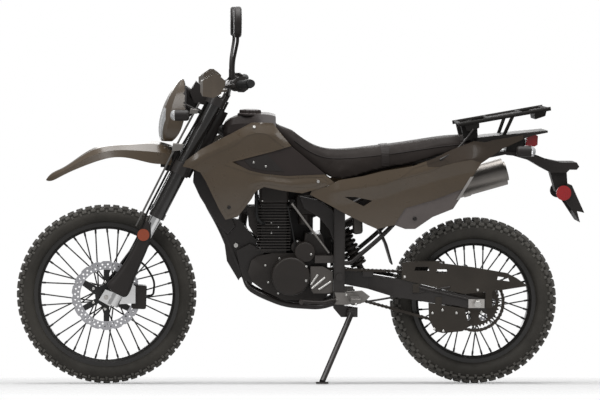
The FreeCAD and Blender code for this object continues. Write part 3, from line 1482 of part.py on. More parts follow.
def fork_clamps():
    """Upper and lower clamps with the steering stem and the fender's mount."""
    shapes = clamp_plate(lower_clamp_low, lower_clamp_height) + clamp_plate(upper_clamp_low,
        upper_clamp_height)
    shapes.append(rod(steer(lower_clamp_low, 0), steer(upper_clamp_low + upper_clamp_height, 0), stem_r))
    lowered = front_fender()
    lowered.translate(V(0, 0, -fit_gap))
    rear_x = front_axle.x - fender_lead + fender_length * fender_end_share - running_gap * 6
    low_z = steer(lower_clamp_low + lower_clamp_height / 2, fork_offset).z
    nose = Part.makeBox(overrun, overrun, overrun * 3, V(rear_x - overrun, -overrun / 2, low_z))
    shapes.append(min(nose.cut(lowered).Solids, key=lambda s: s.CenterOfMass.z))
    shapes.append(Part.makeBox(overrun * 2, overrun, overrun * 0.4,
                               V(rear_x - overrun, -overrun / 2, low_z)))
    clamps = fuse(shapes)
    for side in (-1, 1):
        leg_low = steer(lower_clamp_low - overrun, fork_offset, side * fork_half_width)
        leg_top = steer(outer_tube_top + overrun, fork_offset, side * fork_half_width)
        clamps = clamps.cut(rod(leg_low, leg_top, outer_tube_r + fit_gap))
    return clamps


def fork_outer_tubes():
    """Outer fork tubes."""
    low = steer(outer_tube_low, fork_offset, -fork_half_width)
    top = steer(outer_tube_top, fork_offset, -fork_half_width)
    leg = rod(low, top, outer_tube_r)
    cap = rod(top, top + along_fork * outer_cap_height, outer_tube_r * 0.7)
    collar = rod(low, low + along_fork * (step * 2.6), outer_tube_r + step * 0.25)
    bore = rod(low, low + along_fork * (overrun * 4), inner_tube_r + fit_gap)
    return both_sides(fuse([leg, cap, collar]).cut(bore))


def fork_lowers():
    """Chrome inner tubes with the axle carriers; the left one has the caliper's lug."""
    foot = axle_along - step * 1.8
    low = steer(foot, fork_offset, -fork_half_width)
    top = steer(outer_tube_low + overrun * 4 - fit_gap, fork_offset, -fork_half_width)
    slider = rod(low, top, inner_tube_r)
    block = rod(low, low + along_fork * carrier_height, carrier_r)
    lug_points = [steer(axle_along - step * 2.4, fork_offset), steer(axle_along + step * 3, fork_offset),
                  steer(axle_along + step * 2.6, fork_offset + axle_lead + step * 1.6),
                  steer(axle_along - step * 2.2, fork_offset + axle_lead + step * 2)]
    lug = slab(lug_points, -fork_half_width - carrier_width / 2, -fork_half_width + carrier_width / 2)
    bore = rod(front_axle + V(0, -overrun * 4, 0), front_axle + V(0, overrun * 4, 0), axle_r + fit_gap / 3)
    leg = fuse([slider, block, lug]).cut(bore)
    right = leg.mirror(V(0, 0, 0), V(0, 1, 0))
    caliper_face = front_disc_offset + caliper_slot / 2 + caliper_wall + fit_gap
    arm = slab([front_axle + hub_step(0.3, -0.3), front_axle + hub_step(1.12, -0.26),
                front_axle + hub_step(1.12, 0.4),
                front_axle + hub_step(0.6, 0.7)], -caliper_face - step * 1.6, -caliper_face)
    left = fuse([leg, arm])
    return Part.makeCompound(list(left.Solids) + list(right.Solids))


def front_axle_set():
    """Front axle with its head, nut and collars."""
    half = fork_half_width + carrier_width / 2 + axle_nut_depth * 0.6
    shapes = [rod(front_axle + V(0, -half, 0), front_axle + V(0, half, 0), axle_r)]
    for side in (-1, 1):
        shapes.append(rod(front_axle + V(0, side * (front_hub_end() + hub_end_gap), 0),
                          front_axle + V(0, side * (fork_half_width - carrier_width / 2 - fit_gap), 0),
                          axle_collar_r))
    return fuse(shapes)


def fork_guards():
    """Guards in front of the inner tubes, each on a collar round its axle carrier."""
    low = axle_along + carrier_height - step * 4
    top = outer_tube_low - guard_top_gap
    base = steer(low, fork_offset + guard_lead, -fork_half_width)
    end = steer(top, fork_offset + guard_lead, -fork_half_width)
    shell = tube(base, end, guard_r, guard_r - sheet)
    leg = steer(low, fork_offset, -fork_half_width)
    collar = tube(leg, leg + along_fork * (step * 1.4), guard_r - step * 0.1, carrier_r + fit_gap)
    rear = fork_offset + guard_lead * 0.4
    behind = slab([steer(low - overrun, rear), steer(top + overrun, rear),
                   steer(top + overrun, -overrun * 2),
                   steer(low - overrun, -overrun * 2)], -overrun * 6, 0)
    guard = fuse([shell, collar]).cut(behind)
    inner_side = Part.makeBox(overrun * 12, overrun * 3, overrun * 16,
                              front_axle + V(-overrun * 4, -fork_half_width + guard_inner_side, 0))
    return both_sides(guard.cut(inner_side))


def fork_reflectors():
    """Round reflectors on the guards."""
    at = steer(axle_along + reflector_rise, fork_offset + guard_lead, -fork_half_width - guard_r - fit_gap)
    return both_sides(rod(at, at - V(0, reflector_depth, 0), reflector_r))


hose_loop_shares = [(1.50, -1.20, 1.23), (1.86, -1.05, 0.62), (1.80, -0.66, 0.02), (1.48, -0.55, -0.02)]


def front_brake_hose():
    """Hose from the upper clamp down the left leg, inside its guard and round to the caliper."""
    side = -fork_half_width - hose_r * 3
    near_leg = fork_offset + outer_tube_r + hose_r * 0.75
    ahead = fork_offset + outer_tube_r + hose_r * 3
    points = [steer(upper_clamp_low - fit_gap, near_leg, side),
              steer(upper_clamp_low * 0.64, near_leg, side),
              steer(upper_clamp_low * 0.29, ahead, side), steer(outer_tube_low - hose_r * 4, ahead, side),
              steer(outer_tube_low - hose_r * 32, fork_offset + hose_r * 4, side - hose_r * 4),
              steer(outer_tube_low - hose_r * 44, fork_offset - hose_r, side - hose_r * 4)]
    points += [front_axle + V(hub_span * a, hub_span * b, hub_span * c) for a, b, c in hose_loop_shares]
    hose = bent_bar(points, hose_r, 0.4)
    block = front_caliper()
    block.translate(V(fit_gap, 0, 0))
    return max(hose.cut(block).Solids, key=lambda s: s.Volume)


def bar_point(y):
    """Point on the handlebar's middle line at a distance across the bike."""
    clamp = steer(bar_clamp_rise, step * 0.6)
    far = abs(y)
    if far <= bar_clamp_half:
        return clamp + V(0, y, 0)
    share = min(1.0, (far - bar_clamp_half) / (bar_bend_half - bar_clamp_half))
    pull = max(0.0, far - bar_bend_half) / (bar_half_length - bar_bend_half) * bar_pull
    return clamp + V(pull + share * 4, y, share * bar_lift + pull * 0.2)


def handlebar():
    """Tapered bar with its clamp."""
    line = [bar_point(y) for y in (-bar_half_length, -bar_bend_half, -bar_clamp_half)]
    line += [bar_point(y) for y in (bar_clamp_half, bar_bend_half, bar_half_length)]
    bar = bent_bar(line, bar_r, 0.12)
    clamp = steer(bar_clamp_rise, step * 0.6)
    top = steer(upper_clamp_low + upper_clamp_height + fit_gap, step * 0.6)
    shapes = [bar]
    for side in (-1, 1):
        y = side * (bar_clamp_half - step * 1.4)
        shapes.append(rod(top + V(0, y, 0), clamp + V(0, y, 0), step * 1.3))
    return fuse(shapes)


def outer_bar_frame(y):
    """Point and direction of the bar's straight outer stretch."""
    direction = bar_point(-bar_half_length) - bar_point(-bar_bend_half - 1)
    direction.normalize()
    return bar_point(y), direction


def grips():
    """Rubber grips with their flanges and end weights."""
    end = bar_point(-bar_half_length)
    direction = outer_bar_frame(-bar_half_length)[1]
    start = end - direction * grip_length
    grip = rod(start, end, grip_r)
    flange = rod(start, start + direction * (step * 0.5), grip_r + step * 0.8)
    weight = rod(end, end + direction * (step * 1.6), grip_r * 0.85)
    bore = rod(start - direction * (step * 0.5), end, bar_r + fit_gap / 3)
    return both_sides(fuse([grip, flange, weight]).cut(bore))


def bar_controls():
    """Switch housings, lever perches and levers."""
    end = bar_point(-bar_half_length)
    direction = outer_bar_frame(-bar_half_length)[1]
    start = end - direction * (grip_length + fit_gap)
    inner = start - direction * perch_reach
    housing = rod(inner + direction * (perch_width + step * 0.4), start, step * 2.3)
    perch = rod(inner, inner + direction * perch_width, perch_r)
    ahead = V(-0.95, 0, -0.10)
    knuckle = inner + direction * (step * 0.8) + ahead * (step * 3.4)
    link = rod(inner + direction * (step * 0.8), knuckle, step * 0.8)
    tip = end - direction * (step * 0.8) + ahead * lever_lead
    lever = bent_bar([knuckle, start + direction * (step * 2) + ahead * (lever_lead - step * 0.6), tip],
                     lever_r)
    link = link.cut(rod(inner - direction * (step * 0.5), start, bar_r))
    knob = Part.makeSphere(lever_r + step * 0.3, tip)
    bore = rod(inner - direction * (step * 0.5), start + direction * (step * 0.5), bar_r + fit_gap / 3)
    return both_sides(fuse([housing, perch, link, lever, knob]).cut(bore))


def lever_gap_box(side):
    """Corners, in metres and as parked, of the room between a grip and its lever."""
    middle = bar_point(side * (bar_half_length - grip_length * 0.45)) + V(-lever_lead * 0.55, 0, -step * 0.3)
    middle = leaned_point(middle) + shift
    half = V(step * 0.7, step * 1.6, step * 0.4)
    low, high = middle - half, middle + half
    return [round(v / 1000, 5) for v in low], [round(v / 1000, 5) for v in high]


def handguards():
    """Hand guards: curved plates ahead of the levers, with arms to the bar."""
    middle = bar_point(-(handguard_inner + handguard_outer) / 2)
    front = middle.x - handguard_lead
    shares = [(0.0, 0.66), (0.5, 1.0), (0.66, 1.0), (0.86, 0.85), (1.0, 0.71), (0.98, 0.49), (0.87, 0.31),
              (0.83, 0.17), (0.52, 0.0), (0.08, 0.06), (0.0, 0.23)]
    corner = V(front, 0, middle.z - handguard_height * 0.30)
    side_cut = slab(side_points(shares, corner, handguard_depth, handguard_height), -overrun * 12, 0)
    line = [(0.72, 0.0), (0.22, 0.22), (0.0, 0.55), (0.10, 0.86), (0.45, 1.0), (1.0, 1.02)]
    span = handguard_outer - handguard_inner
    outer = [V(front + handguard_depth * a, -handguard_inner - span * b, 0) for a, b in line]
    inner = [p + V(panel_wall * 1.2, panel_wall * 0.4, 0) for p in reversed(outer)]
    band = plan_slab(outer + inner, corner.z - step * 0.5, corner.z + handguard_height + step * 0.5)
    plate = max(band.common(side_cut).Solids, key=lambda s: s.Volume)
    arm_start = bar_point(-bar_bend_half + step * 0.2) + V(-bar_r - fit_gap * 2, 0, 0)
    arm_end = V(front + handguard_depth * 0.30, -handguard_inner - span * 0.20, middle.z - step * 1.8)
    arm = bent_bar([arm_start, arm_start + V(-step * 5.2, 0, 0), arm_end], step * 0.6)
    return both_sides(fuse([plate, arm]))


def mirrors():
    """Mirror heads on bent stems, screwed on the lever perches."""
    foot = bar_point(-bar_half_length + grip_length + perch_reach - perch_width / 2)
    foot = foot + V(0, 0, perch_r + fit_gap)
    nut = rod(foot, foot + V(0, 0, step * 3.4), step * 0.7)
    head_low = V(foot.x + mirror_wall * 0.5, -mirror_half, foot.z + mirror_rise - mirror_height / 2)
    stem = bent_bar([foot, foot + V(0, 0, step * 7), head_low + V(0, 0, -step * 1.6),
                     head_low + V(0, 0, step * 1)], stem_rod_r, 0.4)
    circle = Part.makeCylinder(mirror_height / 2, mirror_wall, V(0, 0, 0), V(1, 0, 0))
    circle = circle.makeFillet(step * 0.9, circle.Edges[0:1] + circle.Edges[2:3])
    squash = FreeCAD.Matrix()
    squash.scale(1.0, mirror_width / mirror_height, 1.0)
    head = circle.transformGeometry(squash)
    head.translate(head_low + V(-mirror_wall / 2, 0, mirror_height / 2))
    return both_sides(fuse([nut, stem, head]))


def cowl_box():
    """Rear lower reference point of the headlight cowl on the middle plane."""
    return steer(cowl_low_rise, fork_offset + outer_tube_r + cowl_lead)


cowl_rows_share = [(0.0, 0.62, 0.957, -0.489), (0.25, 1.0, 1.043, -0.065), (0.52, 1.0, 0.891, 0.076),
                   (0.79, 0.86, 0.565, 0.109), (1.0, 0.52, 0.16, 0.0)]
cowl_turn_share = [-1.0, -0.667, -0.333, 0.0, 0.333, 0.667, 1.0]


def cowl_body(shrink):
    """Solid inside the cowl's surface, smaller all round by the given amount."""
    base = cowl_box()
    sections = []
    for rise, wide, front, rear in cowl_rows_share:
        z = base.z + cowl_height * rise
        w = cowl_half_width * wide - shrink
        x_rear = base.x + cowl_depth * rear
        reach = base.x - cowl_depth * front + shrink - x_rear
        points = []
        for share in cowl_turn_share:
            turn = math.radians(90 * share)
            points.append(V(x_rear + reach * max(0.0, math.cos(turn)) ** 0.7, w * math.sin(turn), z))
        sections.append(points)
    return loft(sections)


def lens_window(grow):
    """Opening of the lens, seen from the front."""
    base = cowl_box()
    low = base.z + cowl_height * lens_low_share - grow
    top = base.z + cowl_height * lens_top_share + grow
    half = lens_half_width + grow
    corners = [V(base.x - overrun * 5, -half * 0.72, low), V(base.x - overrun * 5, half * 0.72, low),
               V(base.x - overrun * 5, half, (low * 0.35 + top * 0.65)),
               V(base.x - overrun * 5, half * 0.8, top),
               V(base.x - overrun * 5, -half * 0.8, top),
               V(base.x - overrun * 5, -half, (low * 0.35 + top * 0.65))]
    return Part.Face(Part.makePolygon(corners + corners[:1])).extrude(V(overrun * 5 + step * 0.5, 0, 0))


def headlight_cowl():
    """Headlight mask: a wrapped shell with the lens opening and two posts to the fork tubes."""
    inner = cowl_body(panel_wall)
    inner.translate(V(panel_wall * 0.3, 0, 0))
    shell = cowl_body(0).cut(inner).cut(lens_window(0))
    shapes = [max(shell.Solids, key=lambda s: s.Volume)]
    for side in (-1, 1):
        seat_point = steer(cowl_post_rise, fork_offset + outer_tube_r + fit_gap, side * fork_half_width)
        post = rod(seat_point, seat_point + ahead_fork * overrun * 3.5, cowl_post_r)
        hollow = cowl_body(panel_wall * 0.3)
        behind = max(post.cut(hollow).Solids, key=lambda s: s.CenterOfMass.x)
        shapes += [behind, post.common(hollow)]
    return fuse(shapes)


def headlight_lens():
    """Headlight lens with the lamp body behind it."""
    block = cowl_body(0).common(lens_window(-fit_gap))
    return max(block.Solids, key=lambda s: s.Volume)


def instrument():
    """Instrument pod behind the mask, held by a post from the upper clamp."""
    base = steer(upper_clamp_low + step * 1, fork_offset + outer_tube_r + clamp_wall + step * 0.2)
    shares = [(0.0, 0.55), (0.35, 1.0), (1.0, 0.62), (0.95, 0.0), (0.25, 0.1)]
    pod = slab(side_points(shares, base + V(-step * 6.2, 0, -step * 3), step * 7, step * 9.2), -step * 6.6,
               step * 6.6)
    seat_point = steer(upper_clamp_low + upper_clamp_height / 2, fork_offset * 0.5 + step * 3 + fit_gap)
    return fuse([pod, rod(seat_point, seat_point + ahead_fork * (step * 4.2), step * 1)])


def front_signals():
    """Front turn signals on stalks beside the mask."""
    at = steer(upper_clamp_low - front_signal_drop, fork_offset + outer_tube_r + front_signal_lead,
               -front_signal_half)
    pod = signal(at, -1, -cowl_half_width * 0.5).cut(cowl_body(-fit_gap))
    return both_sides(min(pod.Solids, key=lambda s: s.CenterOfMass.y))


fender_end_share = 0.93
fender_rows_share = [(0.0, 0.02, 0.0, 0.10), (0.105, 0.29, 0.08, 0.36), (0.255, 0.63, 0.32, 0.62),
                     (0.38, 0.86, 0.48, 0.80), (0.515, 0.94, 0.59, 0.92), (0.665, 0.98, 0.53, 1.0),
                     (0.82, 1.0, 0.41, 1.0), (fender_end_share, 0.90, 0.35, 0.90)]


def front_fender():
    """High front fender: an arched shell that narrows to its tip."""
    corner = front_axle + V(-fender_lead, 0, fender_rise)
    sections = []
    for place, top, low, half in fender_rows_share:
        x = corner.x + fender_length * place
        z_top = corner.z + fender_height * top
        z_low = corner.z + fender_height * low
        w = fender_half * half
        drop = z_top - z_low
        wall = min(panel_wall, drop * 0.3)
        ring = [(0, 0), (0.55, 0.10), (0.92, 0.42), (1.0, 0.92)]
        outer = [V(x, w * a, z_top - drop * b) for a, b in ring]
        outer = [V(x, -p.y, p.z) for p in reversed(outer[1:])] + outer
        inner = [V(x, (w - wall) * a, z_top - wall - (drop - wall) * b) for a, b in ring]
        inner = [V(x, -p.y, p.z) for p in reversed(inner[1:])] + inner
        sections.append(outer + list(reversed(inner)))
    return loft(sections)


def unlean(v):
    """Direction of the leaned bike turned back into the upright bike's frame."""
    turn = math.radians(lean_deg)
    return V(v.x, v.y * math.cos(turn) + v.z * math.sin(turn), -v.y * math.sin(turn) + v.z * math.cos(turn))


stand_pivot = from_pivot(stand_x_reach, -stand_drop, -stand_y)


def stand_directions():
    """Leg direction when down and when folded, and the hinge axis between them."""
    turn = math.radians(lean_deg)
    height = stand_pivot.y * math.sin(turn) + stand_pivot.z * math.cos(turn) - stand_foot_wall
    side = math.sqrt(stand_length ** 2 - height ** 2 - stand_forward ** 2)
    down = unlean(V(-stand_forward, -side, -height))
    down.normalize()
    folded = V(0.975, -0.06, 0.20)
    folded.normalize()
    gap = down - folded
    spread = gap.x ** 2 + gap.z ** 2
    axis = V(-gap.y * gap.x / spread, 1, -gap.y * gap.z / spread)
    axis.normalize()
    return down, folded, axis


def side_stand():
    """Side stand leg with its eye and foot, down on the ground."""
    down, folded, axis = stand_directions()
    foot = stand_pivot + down * stand_length
    leg = rod(stand_pivot + down * stand_r, foot, stand_r)
    eye = rod(stand_pivot - axis * (step * 0.9), stand_pivot + axis * (step * 0.9), stand_r + step * 0.7)
    ground = unlean(V(0, 0, 1))
    pad = Part.makeCylinder(stand_foot_r, stand_foot_wall, foot - ground * stand_foot_wall, ground)
    return fuse([leg, eye, pad])


def stand_bracket():
    """Lug under the left spar that carries the stand's hinge."""
    down, folded, axis = stand_directions()
    near = stand_pivot + axis * (step * 0.9 + fit_gap)
    hinge = rod(near, near + axis * (step * 2.8), stand_r + step * 0.4)
    low = -spar_inner - spar_wall
    lug = slab([from_pivot(-spar_width / 2, -spar_drop + step * 1.4), frame_at(0.144, -0.236),
                from_pivot(step * 7.2, -spar_drop - step * 3.4),
                from_pivot(step * 0.8, -spar_drop - step * 3.4), from_pivot(-spar_width / 2, -spar_drop)],
                low, low + step * 2.4)
    return [hinge, lug]


STEERED = ("fork_clamps", "fork_outer_tubes", "fork_lowers", "front_axle", "fork_guards", "fork_reflectors",
           "handlebar", "grips", "bar_controls", "handguards", "mirrors", "headlight_cowl", "headlight_lens",
           "instrument", "front_signals", "front_fender", "front_caliper", "front_brake_hose")
FRONT_WHEEL = ("front_tyre", "front_rim", "front_hub", "front_disc")
REAR_WHEEL = ("rear_tyre", "rear_rim", "rear_hub", "rear_sprocket", "rear_disc")
STAND = ("side_stand",)


def build():
    """All pieces by node name, upright."""
    return {
        "main_frame": main_frame(),
        "subframe": subframe(),
        "swingarm": swingarm(),
        "rear_axle": rear_axle_set(),
        "rear_shock": rear_shock(),
        "crankcase": crankcase(),
        "sprocket_cover": sprocket_cover(),
        "cylinder": cylinder(),
        "carburettor": carburettor(),
        "engine_hose": engine_hose(),
        "exhaust_pipe": exhaust_pipe(),
        "muffler": muffler(),
        "fuel_tank": fuel_tank(),
        "fuel_cap": fuel_cap(),
        "tank_shrouds": tank_shrouds(),
        "tank_side_panels": tank_side_panels(),
        "seat": seat(),
        "side_panels": side_panels(),
        "lower_side_cover": lower_side_cover(),
        "rear_fender": rear_fender(),
        "rear_lamps": rear_lamps(),
        "rear_signals": rear_signals(),
        "cargo_rack": cargo_rack(),
        "chain": chain(),
        "chain_guards": chain_guards(),
        "foot_controls": foot_controls(),
        "airbox": airbox(),
        "rear_caliper": rear_caliper(),
        "fork_clamps": fork_clamps(),
        "fork_outer_tubes": fork_outer_tubes(),
        "fork_lowers": fork_lowers(),
        "front_axle": front_axle_set(),
        "fork_guards": fork_guards(),
        "fork_reflectors": fork_reflectors(),
        "handlebar": handlebar(),
        "grips": grips(),
        "bar_controls": bar_controls(),
        "handguards": handguards(),
        "mirrors": mirrors(),
        "headlight_cowl": headlight_cowl(),
        "headlight_lens": headlight_lens(),
        "instrument": instrument(),
        "front_signals": front_signals(),
        "front_fender": front_fender(),
        "front_caliper": front_caliper(),
        "front_brake_hose": front_brake_hose(),
        "front_tyre": tyre(front_axle, front_tyre_r, front_tyre_width, front_seat_r, front_rim_width,
                           front_lug_rows),
        "front_rim": rim(front_axle, front_seat_r, front_rim_width),
        "front_hub": hub(front_axle, front_hub_half, front_seat_r, front_hub_end()),
        "front_disc": brake_disc(front_axle, front_disc_r, front_disc_band, -front_disc_offset, 18),
        "rear_tyre": tyre(rear_axle, rear_tyre_r, rear_tyre_width, rear_seat_r, rear_rim_width,
                          rear_lug_rows),
        "rear_rim": rim(rear_axle, rear_seat_r, rear_rim_width),
        "rear_hub": hub(rear_axle, rear_hub_half, rear_seat_r, rear_hub_end()),
        "rear_sprocket": rear_sprocket(),
        "rear_disc": brake_disc(rear_axle, rear_disc_r, rear_disc_band, rear_disc_offset, 15),
        "side_stand": side_stand(),
    }


def leaned(shape):
    """A copy of a piece, leaned over to the left about the ground line."""
    copy = shape.copy()
    copy.rotate(V(0, 0, 0), V(1, 0, 0), lean_deg)
    return copy


def leaned_point(v):
    """A point or direction of the upright bike after the lean."""
    turn = math.radians(lean_deg)
    return V(v.x, v.y * math.cos(turn) - v.z * math.sin(turn), v.y * math.sin(turn) + v.z * math.cos(turn))


def box_of(shapes):
    """Lowest and highest corners over the shapes' surfaces."""
    low = [1e9, 1e9, 1e9]
    high = [-1e9, -1e9, -1e9]
    for shape in shapes:
        for p in shape.tessellate(0.2)[0]:
            for i, value in enumerate((p.x, p.y, p.z)):
                low[i] = min(low[i], value)
                high[i] = max(high[i], value)
    return V(*low), V(*high)


def place_all(pieces):
    """Lean every piece and move the origin to the middle of the footprint."""
    done = {name: leaned(shape) for name, shape in pieces.items()}
    low, high = box_of(done.values())
    shift = V(-(low.x + high.x) / 2, -(low.y + high.y) / 2, -low.z)
    for shape in done.values():
        shape.translate(shift)
    return done, shift, low, high


def main():
    """Build, place and export every piece."""
    os.makedirs("parts", exist_ok=True)
    pieces, shift, low, high = place_all(build())
    for name, shape in pieces.items():
        shape.exportStep(os.path.join("parts", name + ".step"))
    print("pieces", len(pieces), "size", high - low, "shift", shift)
    return pieces, shift


pieces, shift = main()
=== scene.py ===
"""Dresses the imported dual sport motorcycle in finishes, a soft seat, tyres, spokes and small hardware.

Lengths in the classes are millimetres of the upright bike (X to the rear, Y to the right, Z up).
`Stance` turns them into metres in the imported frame, where the bike leans on its side stand.
"""

import json
import logging
import math
from dataclasses import dataclass
from enum import Enum

import bmesh
import bpy
from bmesh.types import BMesh, BMVert
from bpy.types import ID, Material, Mesh, Node, NodeSocket, NodeTree, Object
from mathutils import Matrix, Vector
from mathutils.bvhtree import BVHTree

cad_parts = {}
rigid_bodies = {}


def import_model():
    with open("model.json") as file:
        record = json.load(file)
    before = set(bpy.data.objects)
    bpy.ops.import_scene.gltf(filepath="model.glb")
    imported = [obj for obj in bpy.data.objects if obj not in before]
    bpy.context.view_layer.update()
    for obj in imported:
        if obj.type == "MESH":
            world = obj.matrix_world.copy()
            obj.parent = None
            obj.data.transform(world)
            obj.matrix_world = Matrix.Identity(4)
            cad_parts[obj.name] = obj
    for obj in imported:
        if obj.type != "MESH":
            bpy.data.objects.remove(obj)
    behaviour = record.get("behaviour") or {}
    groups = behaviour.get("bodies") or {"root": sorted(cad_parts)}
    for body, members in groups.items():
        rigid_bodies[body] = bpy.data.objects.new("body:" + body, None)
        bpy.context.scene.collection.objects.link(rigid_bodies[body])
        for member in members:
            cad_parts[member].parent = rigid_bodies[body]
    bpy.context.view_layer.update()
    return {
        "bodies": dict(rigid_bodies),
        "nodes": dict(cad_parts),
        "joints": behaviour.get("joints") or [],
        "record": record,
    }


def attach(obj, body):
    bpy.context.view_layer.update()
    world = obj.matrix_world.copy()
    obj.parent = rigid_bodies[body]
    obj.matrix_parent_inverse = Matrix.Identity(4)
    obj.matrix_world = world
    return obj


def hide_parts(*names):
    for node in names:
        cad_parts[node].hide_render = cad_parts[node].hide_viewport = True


LOG = logging.getLogger("motorcycle")
MM = 0.001
# One pixel of the photo in millimetres, and the pixel of the upright bike's origin
PIXEL = 3.88
PIXEL_X0 = 290.5
PIXEL_Z0 = 384.0
FRONT_AXLE = (-710.3028, 0.0, 347.0)
REAR_AXLE = (714.9146, 0.0, 324.0)
FORK_FOOT = Vector((-682.68, 0.0, 332.93))
FORK_UP = Vector((0.45399, 0.0, 0.89101))
FORK_AHEAD = Vector((-0.89101, 0.0, 0.45399))
FORK_HALF = 98.0
# Points this near to a cutting plane count as on it, in metres
NEAR = 0.00001
# Where a look at a node starts, out to the left
OUTSIDE = 900.0
ZONE_SPAN = 400.0
COLOUR_SCALE, ROUGHNESS_SCALE = 7.0, 40.0
COLOUR_ENDS = (0.32, 0.68)
# Curvature span, gain and lift of the painted edge highlight
EDGE_SPAN = (0.52, 0.62)
EDGE_GAIN, EDGE_LIFT = 2.6, 0.05
COAT_ROUGHNESS = 0.12
RELIEF_STRENGTH = 0.6
# Thickness of a sheet for each millimetre that it stands proud
SHEET_DEPTH = 1.4
BLACK = 0.012


class Grain(Enum):
    """Fine surface relief of a finish."""

    SMOOTH = "smooth"
    CAST = "cast"
    MOULDED = "moulded"
    LEATHER = "leather"
    BRUSHED = "brushed"
    RUBBER = "rubber"
    RIBBED = "ribbed"


STRETCH = {Grain.BRUSHED: (0.04, 1.0, 1.0), Grain.RIBBED: (0.02, 1.0, 0.02)}


class Form(Enum):
    """Basic shape that a scatter repeats."""

    BLOCK = "block"
    HEX = "hex"
    ROUND = "round"


def feed(tree: NodeTree, node: Node, *first: object, **named: object) -> None:
    """Links or sets inputs of a node.

    Args:
        tree: Its tree.
        node: The node.
        first: Sockets or values of its first inputs.
        named: Sockets or values by input name, with an underscore for a space.
    """
    for key, value in [*enumerate(first), *((name.replace("_", " "), value) for name, value in named.items())]:
        if isinstance(value, NodeSocket):
            tree.links.new(value, node.inputs[key])
        else:
            node.inputs[key].default_value = value


def grown(tree: NodeTree, kind: str, *first: object, **named: object) -> Node:
    """New node with its inputs and settings.

    Args:
        tree: Its tree.
        kind: Type of the node.
        first: Sockets or values of its first inputs.
        named: Inputs by name as in feed(), and settings in lower case.
    Returns:
        The node.
    """
    node = tree.nodes.new(kind)
    for name in [name for name in named if name.islower()]:
        setattr(node, name, named.pop(name))
    feed(tree, node, *first, **named)
    return node


def linked(name: str, data: ID) -> Object:
    """New object in the scene.

    Args:
        name: Its name.
        data: Its mesh, curve, camera or light.
    Returns:
        The object.
    """
    obj = bpy.data.objects.new(name, data)
    bpy.context.scene.collection.objects.link(obj)
    return obj


def column(px: float) -> float:
    """Upright X of a pixel column of the photo."""
    return (px - PIXEL_X0) * PIXEL


def level(py: float) -> float:
    """Upright Z of a pixel row of the photo."""
    return (PIXEL_Z0 - py) * PIXEL


def pixel_of(spot: Vector) -> tuple:
    """Pixel column and row of an upright place."""
    return spot.x / PIXEL + PIXEL_X0, PIXEL_Z0 - spot.z / PIXEL


def tree_over(mesh: Mesh) -> BVHTree:
    """Search tree over a mesh."""
    return BVHTree.FromPolygons([v.co.copy() for v in mesh.vertices], [list(p.vertices) for p in mesh.polygons])


def skin(work: BMesh, rows: list, closed: bool, smooth: bool = True) -> None:
    """Joins rows of vertices by faces.

    Args:
        work: The mesh in work.
        rows: Rows with as many vertices each; a last row of one vertex ends the form in a point.
        closed: Whether a row's last vertex meets its first.
        smooth: Whether the faces are shaded smooth.
    """
    for one, two in zip(rows, rows[1:]):
        for k in range(len(one) if closed else len(one) - 1):
            after = (k + 1) % len(one)
            far = (two[after], two[k]) if len(two) > 1 else (two[0],)
            work.faces.new((one[k], one[after], *far)).smooth = smooth


def mesh_of(work: BMesh, name: str, outward: bool = True) -> Mesh:
    """Mesh of a finished work, which is freed.

    Args:
        work: The mesh in work.
        name: Name of the mesh.
        outward: Whether the normals are turned outward first.
    Returns:
        The mesh.
    """
    if outward:
        bmesh.ops.recalc_face_normals(work, faces=work.faces)
    mesh = bpy.data.meshes.new(name)
    work.to_mesh(mesh)
    work.free()
    return mesh


def cut(work: BMesh, place: Vector, normal: Vector, near: float) -> None:
    """Cuts all faces along a plane; points as near to it as told count as on it."""
    bmesh.ops.bisect_plane(work, geom=work.verts[:] + work.edges[:] + work.faces[:], dist=near, plane_co=place,
                           plane_no=normal)


def cut_grid(work: BMesh, cell: float, near: float) -> None:
    """Cuts all faces along upright and level planes.

    Args:
        work: The mesh in work.
        cell: Distance of the planes.
        near: Points this near count as on a plane.
    """
    for axis, normal in ((0, Vector((1, 0, 0))), (2, Vector((0, 0, 1)))):
        low = min(v.co[axis] for v in work.verts)
        high = max(v.co[axis] for v in work.verts)
        count = max(2, int((high - low) / cell))
        for k in range(1, count):
            cut(work, normal * (low + (high - low) * k / count), normal, near)


